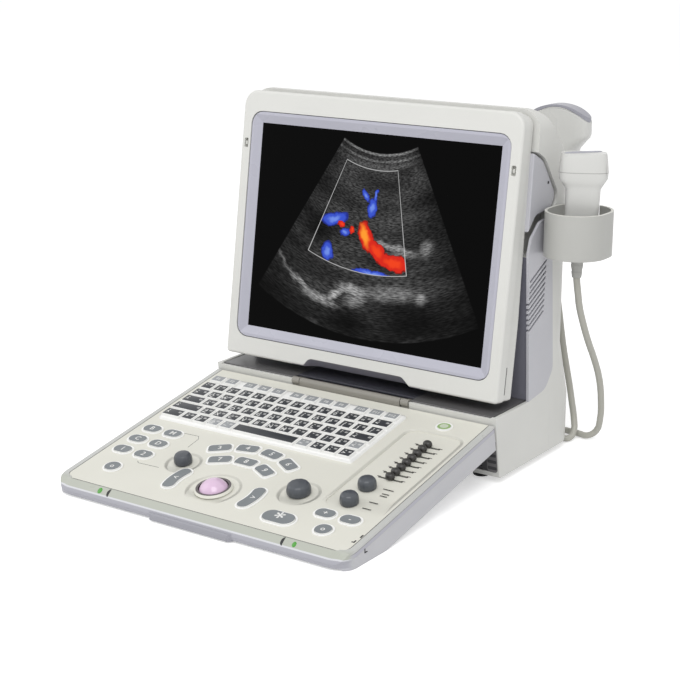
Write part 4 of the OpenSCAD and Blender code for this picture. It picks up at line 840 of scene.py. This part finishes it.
# Flow away from and towards the probe, as soft ellipses: middle, half axes, turn in degrees.
blue_flow = (
    ((-7, 47), (7.5, 3), -58), ((6, 49), (6, 2.2), 70), ((2, 35), (11, 5.5), 80),
    ((-46, 19), (18, 7), 14), ((-31, 6), (6, 4.6), 20), ((-52, -17), (7.5, 11), 10),
    ((8, -34.5), (26, 3.4), -3),
)
red_flow = (
    ((-3, 4), (8.5, 17), 24), ((12, -10), (15, 8), -38), ((34, -20), (22, 8.5), -10),
    ((-36, 14), (5, 3), 0), ((-22, 9), (3.4, 3.2), 0),
)
for flow, shades in (
    (blue_flow, (("222f8c", 0.42, 0.52), ("3a54cc", 0.52, 0.72), ("7d9df0", 0.8, 1.1))),
    (red_flow, (("8e1a14", 0.42, 0.5), ("d8281a", 0.5, 0.62), ("f2431c", 0.75, 1.0))),
):
    strength = most(*(blob(centre, half, turn, 0.9) for centre, half, turn in flow))
    for shade, low, high in shades:
        shown = times(ramp(strength, low, high), in_box)
        picture = tinted(display, picture, shade, shown)
fastest = times(blob((-5, 5), (3.4, 11), 24, 0.7), in_box)
picture = tinted(display, picture, "ff9c30", fastest)
# Thin light outline of the colour box.
rims = most(band(radius, 114.2, 114.8, 0.35), band(radius, 225.7, 226.3, 0.35))
sides = most(band(angle, -22.1, -21.9, 0.09), band(angle, 11.3, 11.5, 0.09))
outline = most(
    times(rims, band(angle, -22, 11.5, 0.05)), times(sides, band(radius, 114.2, 226.3, 0.2))
)
picture = tinted(display, picture, "c9c9c9", outline)
display.node_tree.links.new(picture, glass.inputs["Emission Color"])
glass.inputs["Emission Strength"].default_value = 1
eased("lcd_panel", 0, display, "display")


# Console: a cream deck plate in a silver-green trim frame, over a light grey lower case that
# is screwed to it from below. The barrel at the back turns on the base's hinge pins.
tilt = math.radians(11)
deck_down = Vector((0, -math.cos(tilt), -math.sin(tilt)))
deck_up = Vector((0, -math.sin(tilt), math.cos(tilt)))
deck_start = at(0, 0, 67.1)
console_place = (
    Matrix.Translation(deck_start)
    @ Matrix(((1, 0, 0, 0), (0, deck_down.y, deck_up.y, 0), (0, deck_down.z, deck_up.z, 0),
              (0, 0, 0, 1)))
    @ Matrix.Scale(mm, 4)
)


def sunk(material, shapes, depth):
    """Presses soft-edged recesses, given as heights from 0 inside to 1 outside, into a bump."""
    shader = material.node_tree.nodes["Principled BSDF"]
    height = chain(material, "MINIMUM", *shapes)
    old = shader.inputs["Normal"].links[0].from_socket
    bump = add(
        material,
        "ShaderNodeBump",
        {"Strength": 1, "Distance": depth * mm},
        {"Height": height, "Normal": old},
    )
    material.node_tree.links.new(bump.outputs[0], shader.inputs["Normal"])


# Half the console's width and its front edge; the middle of each front corner's round, and by
# how much the round's radius of 20 mm is wider than the solid's own.
half_width, front_edge = 181, 268.4
corner_x, corner_y, wider_by = 161, 248.4, 8


def round_front(piece):
    """Rounds the console's two front corners to 20 mm as seen from above."""
    edit(piece)
    planes = []
    for inward in (20, 16, 12, 8, 4):
        planes += [
            (at(0, inward - front_edge, 0), (0, 1, 0)),
            (at(half_width - inward, 0, 0), (1, 0, 0)),
            (at(inward - half_width, 0, 0), (1, 0, 0)),
        ]
    for spot, facing in planes:
        bpy.ops.mesh.select_all(action="SELECT")
        bpy.ops.mesh.bisect(plane_co=spot, plane_no=facing)
    bpy.ops.object.mode_set(mode="OBJECT")
    for point in piece.data.vertices:
        x, y, z = (point.co - at(0, 0, 0)) / mm
        sideways, ahead = abs(x) - corner_x, -corner_y - y
        if sideways > 0 and ahead > 0:
            past = min(sideways, ahead) - wider_by
            reach = max(sideways, ahead)
            if past > 0:
                reach = wider_by + math.hypot(past, reach - wider_by)
            grow = reach / math.hypot(sideways, ahead)
            point.co = at(
                math.copysign(corner_x + sideways * grow, x), -corner_y - ahead * grow, z
            )


def on_deck(material):
    """Sideways place and distance down the deck in mm, as two sockets of a material."""
    return measure(material, deck_start, (1, 0, 0)), measure(material, deck_start, deck_down)


def rounded_gap(material, x, s, centre, half, corner):
    """Distance in mm outside a rounded rectangle on the deck."""
    parts = []
    for value, middle, reach in zip((x, s), centre, half):
        away = calc(material, "ABSOLUTE", calc(material, "SUBTRACT", value, middle))
        past = calc(material, "SUBTRACT", away, reach - corner)
        parts.append(calc(material, "MAXIMUM", past, 0.0))
    return calc(material, "SUBTRACT", hypotenuse(material, *parts), corner)


# Cream ABS of the housing's grain, pressed into shallow dishes round the knobs and the ball.
deck_abs = moulded("abs_deck_cream", "dddcd2", 0.44, 1.1, 0.04)
# Brighter white ABS from a finer tool, for the key skirts and the raised key beds.
white_abs = moulded("abs_key_white", "f2f2f0", 0.4, 1.4, 0.02, 0.97)
deck_x, deck_s = on_deck(deck_abs)
dishes = []
for x, s, r in ((-75, 190.5, 19), (72.5, 192, 21.5), (-12, 220, 28)):
    gap = rounded_gap(deck_abs, deck_x, deck_s, (x, s), (r, r), r)
    near_side = slope_up(deck_abs, deck_s, s + 8, s + 24)
    dishes.append(calc(deck_abs, "MAXIMUM", slope_up(deck_abs, gap, -3.5, 1.5), near_side))
field_gap = rounded_gap(deck_abs, deck_x, deck_s, (136, 119), (33.5, 83), 13)
fading = slope_up(deck_abs, deck_s, 165, 198)
field_rim = calc(deck_abs, "MAXIMUM", slope_up(deck_abs, field_gap, -2.5, 2.5), fading)
dishes.append(field_rim)
sunk(deck_abs, dishes, 4.0)
border = rounded_gap(deck_abs, deck_x, deck_s, (0, 121.5), (175, 141.5), 11.5)
overlay(deck_abs, within(deck_abs, border, -0.7, 1.0), "5e5e5a")
deck_plate = eased("console_top", 0.3, deck_abs, "deck_plate", shaped=round_front)
to_deck = console_place.inverted()
recolour(deck_plate, white_abs, lambda face: (to_deck @ face.center).z > 0.15)


# Trim frame and lower case: lacquered silver-green on the front ledge, light grey along the
# sides, with a lilac band that runs under the ledge, a painted highlight along the top of that
# band and a dark joint between the two parts.

# Silver lacquer over ABS: smoother than the bare plastic, with a soft metallic tone.
trim_paint = moulded("lacquered_trim_silver", "c3c4c1", 0.32, 1.6, 0.02)
# Light grey ABS with a fine grain.
case_abs = moulded("abs_case_grey", "c0c0c4", 0.4, 1.1, 0.04)
for material in (trim_paint, case_abs):
    ahead = measure(material, at(0, 0, 0), (0, -1, 0))
    height = measure(material, at(0, 0, 0), (0, 0, 1))
    over = measure(material, deck_start, deck_up)
    aside = calc(material, "ABSOLUTE", measure(material, at(0, 0, 0), (1, 0, 0)))
    aside = calc(material, "MAXIMUM", calc(material, "SUBTRACT", aside, corner_x), 0)
    beyond = calc(material, "MAXIMUM", calc(material, "SUBTRACT", ahead, corner_y), 0)
    outside = calc(material, "GREATER_THAN", hypotenuse(material, aside, beyond), 10.2)
    front = calc(material, "MULTIPLY", outside, slope_up(material, beyond, 1, 12))
    overlay(material, front, "b0b3a9")
    # Down the front below the ledge: a painted highlight from 11.6 to 10.4 mm high, the lilac band under it,
    # and light grey again below 3.2 mm.
    for edge, shade in ((11.6, "cdced2"), (10.4, "a6a6ae"), (3.2, "bcbcc2")):
        below = calc(material, "LESS_THAN", height, edge)
        overlay(material, calc(material, "MULTIPLY", front, below), shade)
    rest = calc(material, "SUBTRACT", 1.0, front)
    for low, high, shade in ((-7.2, -2.6, "adacb6"), (-2.9, -2.3, "77777c")):
        stripe = calc(material, "MULTIPLY", within(material, over, low, high), rest)
        overlay(material, stripe, shade)
eased("console_trim", 0.8, trim_paint, "trim_frame", shaped=round_front)
eased("console_case", 1.0, case_abs, "lower_case", shaped=round_front)
# Painted shade: the barrel's ABS is coloured taupe for the shade of the channel that it stands in.
hinge_shade = moulded("abs_hinge_painted_shade", "8e8b84", 0.5, 1.1, 0.05, 0.92)
barrel = eased("console_barrel", 0.4, hinge_shade, "hinge_barrel")
slimmed(barrel, lambda x, y, z: True)
eased("key_tray", 0, white_abs, "key_tray", melt=False)


def turned(name, profile, sides=64):
    """Lathed piece: a circle extruded and resized from one (radius, height) to the next."""
    bpy.ops.mesh.primitive_circle_add(vertices=sides, radius=profile[0][0])
    piece = bpy.context.object
    piece.name = name
    piece.data.transform(Matrix.Translation((0, 0, profile[0][1])))
    edit(piece, "EDGE")
    for (r, z), (wider, higher) in zip(profile, profile[1:]):
        bpy.ops.mesh.extrude_region_move(TRANSFORM_OT_translate={"value": (0, 0, higher - z)})
        bpy.ops.transform.resize(value=(wider / r, wider / r, 1), center_override=(0, 0, 0))
    bpy.ops.mesh.edge_face_add()
    bpy.ops.mesh.select_all(action="SELECT")
    bpy.ops.mesh.remove_doubles(threshold=0.001)
    bpy.ops.mesh.normals_make_consistent(inside=False)
    bpy.ops.object.mode_set(mode="OBJECT")
    return piece


# Front details: two small status lamps and two black crescents set in the ledge, a pull lip
# under its middle, a latch slot in the right side drawn in black as painted shade, and two
# short hooks printed on the deck.

# Pad-printed ink: black, flat and even.
print_ink = moulded("pad_printed_black", "1f1f21", 0.5, 1.0, 0.0, 0.95)
# Tinted clear resin: smooth green, brighter where light catches it.
lamp_resin = moulded("tinted_lamp_green", "4f9a3c", 0.25, 1.5, 0.0, 0.95)
ledge = (
    Matrix.Translation(at(0, -262.6, 13.95)) @ Matrix.Rotation(math.radians(41), 4, "X")
    @ Matrix.Scale(mm, 4)
)
for name, x, material, radius in (
    ("power_lamp", -121, lamp_resin, 2.7), ("charge_lamp", 121, lamp_resin, 2.3),
):
    lamp_dot = turned(name, [(radius, -1), (radius, 0.15), (radius * 0.6, 0.4), (0.1, 0.45)], 32)
    lamp_dot.data.transform(Matrix.Diagonal((1.0, 1.25, 1, 1)))
    lamp_dot.data.transform(ledge @ Matrix.Translation((x, 0, 0)))
    attach(dress(lamp_dot, material, 40), "console", "trim_silver")
crescents = []
for x in (-108, 109):
    moon = turned("moon", [(3.9, -1), (3.9, 0.25), (0.1, 0.25)], 40)
    for point in moon.data.vertices:
        if point.co.xy.length < 0.2:
            point.co.x -= 1.8
        elif point.co.x > 0:
            point.co.x *= -0.1
    moon.data.transform(Matrix.Diagonal((0.85, 1.15, 1, 1)))
    moon.data.transform(ledge @ Matrix.Translation((x, 0, 0)))
    crescents.append(moon)
attach(dress(joined("ledge_crescents", crescents), print_ink, 40), "console", "trim_silver")
# Darker grey ABS, smooth from finger wear.
lip_abs = moulded("abs_lip_grey", "9b9ba3", 0.36, 1.1, 0.04)
pull_lip = block("pull_lip", (-52, -271.4, 1.6), (52, -266, 9.0))
for point in pull_lip.data.vertices:
    if point.co.y < -271:
        point.co.x *= 0.93
bevel_edges(pull_lip, 1.6, lambda a, b: max(a.y, b.y) < -271, 4)
pull_lip.data.transform(base_place)
attach(dress(pull_lip, lip_abs, 40), "console", "case_lilac")
hooks = []
for x, s, long, wide in ((173, 233, 5, 1.6), (172, 243, 4, 1.6), (170.8, 244.4, 1.4, 3.2)):
    low, high = (x - wide / 2, s - long / 2, 0.02), (x + wide / 2, s + long / 2, 0.14)
    hooks.append(block("hook", low, high, place=console_place))
# The latch slot in the right side: black sheets standing on the side, painted shade for its opening.
for high in ((181.3, -231.5, 11.6), (181.3, -234.9, 15)):
    hooks.append(block("latch", (180.7, -236, 10.6), high, place=base_place))
attach(dress(joined("printed_hooks_and_latch_shade", hooks), print_ink, 40), "console", "deck_cream")


# Keys: double-shot caps, white below with sloping skirts, and a near-black or grey top that
# carries a light legend. They press one by one on domes; each group moves together here.

# Printed caps: charcoal and mid grey, satin, with the slight rub that fingers leave.
key_dark = moulded("printed_cap_charcoal", "2f3237", 0.42, 1.4, 0.02, 0.9)
key_light = moulded("printed_cap_grey", "979a9d", 0.42, 1.4, 0.02, 0.95)
# White pad-printed ink: flat and even.
legend_ink = moulded("pad_printed_white", "e6e6e4", 0.5, 1.0, 0.0, 0.97)
pitch_s, key_gap, key_w, key_s, cap_top = 16.7, 4.9, 12.7, 46.3, 5.0


def key_cap(x, s, wide, deep=14.2):
    """Cap of one key: a block drawn in towards its top, whose inset top face is printed."""
    cap = block("cap", (-wide / 2, -deep / 2, 1.2), (wide / 2, deep / 2, cap_top))
    for point in cap.data.vertices:
        if point.co.z > 3:
            point.co.x -= math.copysign(0.5, point.co.x)
            point.co.y -= math.copysign(0.5, point.co.y)
    cap.data.materials.append(white_abs)
    edit(cap, "FACE", "DESELECT")
    bpy.ops.object.mode_set(mode="OBJECT")
    for face in cap.data.polygons:
        face.select = face.normal.z > 0.9
    bpy.ops.object.mode_set(mode="EDIT")
    bpy.ops.mesh.inset(thickness=0.55, depth=0.25)
    bpy.ops.object.mode_set(mode="OBJECT")
    for face in cap.data.polygons:
        face.material_index = 1 if face.select else 0
    cap.data.transform(console_place @ Matrix.Translation((x, s, 0)))
    return cap


def legend(words, x, s, n, tall, turn=0.0):
    """Printed characters on the deck's plane, centred at x, s and standing tall mm."""
    bpy.ops.object.text_add()
    text = bpy.context.object
    text.data.body = words
    text.data.size = tall * 1.4
    text.data.align_x = "CENTER"
    text.data.align_y = "CENTER"
    text.data.resolution_u = 2
    text.data.offset = tall * 0.02
    bpy.ops.object.convert(target="MESH")
    text = bpy.context.object
    text.data.transform(Matrix.Rotation(math.radians(turn), 4, "Z"))
    text.data.transform(
        console_place @ Matrix.Translation((x, s, n)) @ Matrix.Diagonal((1, -1, -1, 1))
    )
    return text


def printed(name, marks, node, slot):
    """Joins printed marks into one piece of white ink, which moves with its keys."""
    piece = joined(name, marks)
    piece.data.materials.clear()
    piece.data.materials.append(legend_ink)
    return attach(piece, body_of(node), slot)


def key_group(name, node, top, caps, marks, slot, *covers):
    """Joins caps and their printed marks into the piece of one group of keys."""
    for cap in caps:
        cap.data.materials.append(top)
    piece = joined(name, caps)
    bpy.ops.object.shade_smooth_by_angle(angle=math.radians(30))
    if marks:
        printed(name + "_legends", marks, node, slot)
    return attach(piece, body_of(node), slot, *covers)


rows = (
    ([key_w] * 13 + [18], "`1234567890-=<", "d" * 14),
    ([17] + [key_w] * 13, ">QWERTYUIOP[]/", "d" * 14),
    ([24] + [key_w] * 11 + [24], "^ASDFGHJKL;'<", "d" * 13),
    ([34] + [key_w] * 12, "^ZXCVBNM,./^<", "d" * 12 + "l"),
    ([22, key_w, key_w, key_w, key_w, 77, key_w, key_w, key_w, key_w], "^*#@~ ~<v>", "dddllslddd"),
)
caps = {"d": [], "l": [], "s": []}
marks = {"d": [], "l": [], "s": []}
for row, (widths, letters, kinds) in enumerate(rows):
    x = -163.0
    s = key_s + row * pitch_s
    for wide, letter, kind in zip(widths, letters, kinds):
        x += wide / 2
        caps[kind].append(key_cap(x, s, wide + 2.4))
        if letter != " ":
            left = x - wide / 2 + 3.6
            marks[kind].append(legend(letter, left, s + 1.8, cap_top + 0.3, 5.6))
            marks[kind].append(legend("-", left + 0.4, s - 3.6, cap_top + 0.3, 5.4))
            marks[kind].append(legend("=", x + wide / 2 - 3.2, s - 1.4, cap_top + 0.3, 5.0))
        x += wide / 2 + key_gap
function_x = (-156.5, -137, -111.5, -92, -72.5, -47.5, -28, -8.5, 11, 36.5, 56, 75.5)
function_caps = [key_cap(x, 28.2, 15.8, 12.6) for x in function_x]
function_marks = [legend(f"F{i + 1}", x, 28.6, cap_top + 0.3, 4.2) for i, x in enumerate(function_x)]
key_group("letter_key_caps", "letter_keys", key_dark, caps["d"], marks["d"], "key_dark", "letter_keys")
key_group("grey_key_caps", "letter_keys", key_light, caps["l"], marks["l"], "key_light")
key_group("space_bar_cap", "space_bar", key_dark, caps["s"], [], "key_dark", "space_bar")
key_group(
    "function_key_caps", "function_keys", key_light, function_caps, function_marks, "key_light",
    "function_keys",
)


# Soft keys: grey elastomer pads in white collars, moulded as one mat. Each carries a small
# printed mark; the power key is green round a paler middle.
def padded_key(node, edge, top, name, level):
    """Copy of a group of pads whose raised faces carry the top's colour."""
    piece = eased(node, edge, white_abs, name)
    recolour(
        piece, top,
        lambda face: face.normal.dot(deck_up) > 0.35 and (to_deck @ face.center).z > level,
    )
    for point in piece.data.vertices:
        over = (to_deck @ point.co).z
        if over > 0:
            point.co -= deck_up * over * 0.4 * mm
    return piece


# Grey elastomer with a dry, slightly clouded touch surface.
soft_abs = moulded("elastomer_key_grey", "7c8184", 0.5, 1.4, 0.03, 0.95)
# The same elastomer in green, round a paler printed middle.
power_abs = moulded("elastomer_key_green", "8fae6e", 0.5, 1.4, 0.03, 0.95)
power_gap = rounded_gap(power_abs, *on_deck(power_abs), (134, 21), (4.6, 4.0), 4.0)
overlay(power_abs, calc(power_abs, "LESS_THAN", power_gap, 0.0), "c3ccb8")
padded_key("soft_keys", 0.7, soft_abs, "soft_key_pads", 0.9)
padded_key("freeze_key", 0.9, soft_abs, "freeze_key_pad", 0.9)
padded_key("power_key", 0.6, power_abs, "power_key_pad", 0.5)
pads = [
    ("B", -154, 147, 0), ("M", -125.5, 147, 0), ("C", -154, 171, 0), ("D", -125.5, 171, 0),
    ("1", -154, 195, 0), ("2", -125.5, 195, 0), ("+", 119.5, 214.5, 0), ("-", 148, 214.5, 0),
    ("o", -139, 228, 0), ("o", 134, 239, 0), ("<", -61, 220, 0), (">", 37, 220, 0),
]
for ring, angles, names in ((87.5, (-30.2, -10.1, 10.1, 30.2), "3456"), (63, (-27, 0, 27), "789")):
    for a, letter in zip(angles, names):
        swing = math.radians(a)
        pads.append((letter, -13.3 + ring * math.sin(swing), 228 - ring * math.cos(swing), -a))
pad_marks = [legend(letter, x, s, 1.9, 6.6, turn) for letter, x, s, turn in pads]
printed("soft_key_marks", pad_marks, "soft_keys", "key_soft")
printed("freeze_key_mark", [legend("*", 82.5, 241.5, 2.5, 17)], "freeze_key", "key_freeze")


# Knobs: soft-touch slate barrel knobs, each lathed in one piece with its shaft, which runs in
# a bush on the keyboard's circuit board. Twelve shallow facets give the finger a grip.

# Soft-touch paint over ABS: slate, with a broad quiet sheen.
knob_abs = moulded("soft_touch_slate", "4d5157", 0.32, 1.4, 0.03, 0.82)


def knob(name, node, x, s, r, height, lift):
    """Knob of radius r and its height over the deck, with a bulging side and a domed top."""
    profile = [(3, lift - 8), (3, lift), (r * 0.93, lift), (r * 0.98, lift + 0.8), (r, height * 0.3)]
    for i in range(1, 9):
        swing = math.radians(i * 10.6)
        profile.append(
            (r * (0.6 + 0.4 * math.cos(swing)), height * (0.3 + 0.66 * math.sin(swing) ** 0.9))
        )
    piece = turned(name, profile + [(0.2, height)], 96)
    for point in piece.data.vertices:
        turn = math.atan2(point.co.y, point.co.x)
        if point.co.z > lift + 0.5:
            flute = 1 - 0.012 * (1 + math.cos(12 * turn))
            point.co.x *= flute
            point.co.y *= flute
    piece.data.transform(console_place @ Matrix.Translation((x, s, 0)))
    edit(piece)
    bpy.ops.mesh.normals_make_consistent(inside=False)
    bpy.ops.object.mode_set(mode="OBJECT")
    dress(piece, knob_abs, 50)
    return attach(piece, body_of(node), "knob_grey", node)


knob("menu_knob_cap", "knob_menu", -75, 190.5, 9.6, 11.4, 0.4)
knob("large_knob_cap", "knob_large", 72.5, 192, 12.4, 11.8, 0.4)
knob("small_knob_cap_a", "knob_a", 128.5, 156, 9.5, 11.2, 0.1)
knob("small_knob_cap_b", "knob_b", 128.5, 187, 9.5, 11.2, 0.1)


# Gain sliders: eight small rounded black finger pieces on flat stems, each in its own slot,
# which a thin black gasket with forked ends lines.

# Black ABS, rubbed smooth and a little shiny by the fingertips.
slider_abs = moulded("abs_slider_black", "312f2d", 0.34, 1.2, 0.03, 0.85)
slider_x, slider_s, slider_pitch = 140, 63, 10
tip_profile = [
    (1.6, -0.3), (3.8, 0.2), (4.9, 1.6), (5.0, 3.2), (4.4, 5.0), (3.0, 6.1), (0.2, 6.5),
]
gaskets = []
for i in range(8):
    slider_place = console_place @ Matrix.Translation((slider_x, slider_s + slider_pitch * i, 0))
    tip = turned("tip", tip_profile, 32)
    tip.data.transform(Matrix.Diagonal((1, 0.86, 1, 1)))
    stem = block("stem", (-1.2, -0.5, -7), (1.2, 0.5, 0))
    piece = joined(f"gain_slider_{i + 1}", [tip, stem])
    piece.data.transform(slider_place)
    node = f"tgc_slider_{i + 1}"
    attach(dress(piece, slider_abs, 50), body_of(node), "slider_black", node)
    gasket = block("gasket", (-14, -1, -0.8), (14, 1, -0.55))
    cut(gasket, block("slot", (-12.6, -0.75, -2), (12.6, 0.75, 1)))
    forks = [gasket]
    for x in (-14, 14):
        forks.append(block("fork", (x - 2.2, -1.9, -0.8), (x + 2.2, -1.2, -0.6)))
    gasket = joined("gasket", forks)
    gasket.data.transform(slider_place)
    gaskets.append(gasket)
attach(dress(joined("slot_gaskets", gaskets), slider_abs, 40), "console", "deck_cream")


# Printed guides on the deck: short bracket lines that group the left-hand keys, and rows of
# small ticks beside the two right-hand knobs.
strokes = []
for route in (
    ((-119, 140), (-97, 139), (-93, 144), (-92, 163)),
    ((-123, 207), (-120, 210), (-93, 209)),
):
    for (x0, s0), (x1, s1) in zip(route, route[1:]):
        reach = math.hypot(x1 - x0, s1 - s0)
        stroke = block("stroke", (0, -0.22, 0.02), (reach, 0.22, 0.08))
        turn = Matrix.Rotation(math.atan2(s1 - s0, x1 - x0), 4, "Z")
        stroke.data.transform(console_place @ Matrix.Translation((x0, s0, 0)) @ turn)
        strokes.append(stroke)
for x, s, long in ((150, 152, 12), (152, 160, 8), (152, 164, 8), (150, 178, 10), (150, 190, 10)):
    low, high = (x - long / 2, s - 0.5, 0.02), (x + long / 2, s + 0.5, 0.08)
    strokes.append(block("tick", low, high, place=console_place))
attach(dress(joined("printed_guides", strokes), print_ink, 40), "console", "deck_cream")


# Trackball: a polished ball of cast pink-lilac resin, kept in its opening by a low dark
# retaining ring. The ring's outer rim takes the cream of the deck round it.

# Umber ABS with a fine grain: satin, dark enough to set the ball off.
ring_abs = moulded("abs_ring_umber", "5a5355", 0.4, 1.2, 0.02, 0.9)
# Polished cast resin: pink-lilac, with a sharp small highlight.
ball_resin = moulded("cast_resin_pink", "dcbfd9", 0.16, 3.0, 0.0, 0.95, 0.6)
ring_gap = rounded_gap(ring_abs, *on_deck(ring_abs), (-12, 220), (17.9, 17.9), 17.9)
overlay(ring_abs, calc(ring_abs, "GREATER_THAN", ring_gap, 0.0), "dddcd2")
eased("trackball_ring", 0.3, ring_abs, "ball_ring")
ball = eased("trackball", 0, ball_resin, "track_ball", 60)
ball_middle = at(-12, -214.9, 19.5)
for point in ball.data.vertices:
    point.co = ball_middle + (point.co - ball_middle) * 0.95


# Studio: a matt white floor and a white surround that light the object evenly, with one broad
# key light and a weaker fill. The floor keeps the object's shadow.
def plain_view(surround):
    """1 where the camera, or a gloss or glass in front of it, looks straight at a surface."""
    rays = add(surround, "ShaderNodeLightPath").outputs
    looks = ("Is Camera Ray", "Is Glossy Ray", "Is Transmission Ray")
    return chain(surround, "MAXIMUM", *(rays[look] for look in looks))


bpy.ops.mesh.primitive_plane_add(size=40, location=(0, 0, 0))
floor = bpy.context.object
floor.name = "floor"
white = bpy.data.materials.new("white_floor")
white.use_nodes = True
white.node_tree.nodes.clear()
matt = add(white, "ShaderNodeBsdfDiffuse", {"Color": (0.86, 0.86, 0.86, 1)})
lift = add(white, "ShaderNodeEmission", {"Color": (1, 1, 1, 1), "Strength": 0.47})
both = add(white, "ShaderNodeAddShader", links={0: matt.outputs[0], 1: lift.outputs[0]})
seen = add(
    white, "ShaderNodeMixShader",
    links={0: plain_view(white), 1: matt.outputs[0], 2: both.outputs[0]},
)
add(white, "ShaderNodeOutputMaterial", links={"Surface": seen.outputs[0]})
floor.data.materials.append(white)
floor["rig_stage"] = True
world = bpy.data.worlds.new("studio")
bpy.context.scene.world = world
world.use_nodes = True
world.node_tree.nodes.clear()
soft_light = add(world, "ShaderNodeBackground", {"Color": (1, 1, 1, 1), "Strength": 0.62})
paper = add(world, "ShaderNodeBackground", {"Color": (1, 1, 1, 1), "Strength": 1})
chosen = add(
    world, "ShaderNodeMixShader",
    links={0: plain_view(world), 1: soft_light.outputs[0], 2: paper.outputs[0]},
)
add(world, "ShaderNodeOutputWorld", links={"Surface": chosen.outputs[0]})
bpy.context.scene.view_settings.view_transform = "Standard"
for name, place, aim, size, power in (
    ("key_light", (0.9, -1.5, 2.1), (0, 0, 0.15), 1.6, 34),
    ("fill_light", (-2.0, -1.0, 1.4), (0, 0, 0.2), 2.0, 12),
):
    bpy.ops.object.light_add(type="AREA", location=place)
    lamp = bpy.context.object
    lamp.name = name
    lamp.data.size = size
    lamp.data.energy = power
    lamp.rotation_euler = (Vector(aim) - Vector(place)).to_track_quat("-Z", "Y").to_euler()

low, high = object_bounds()
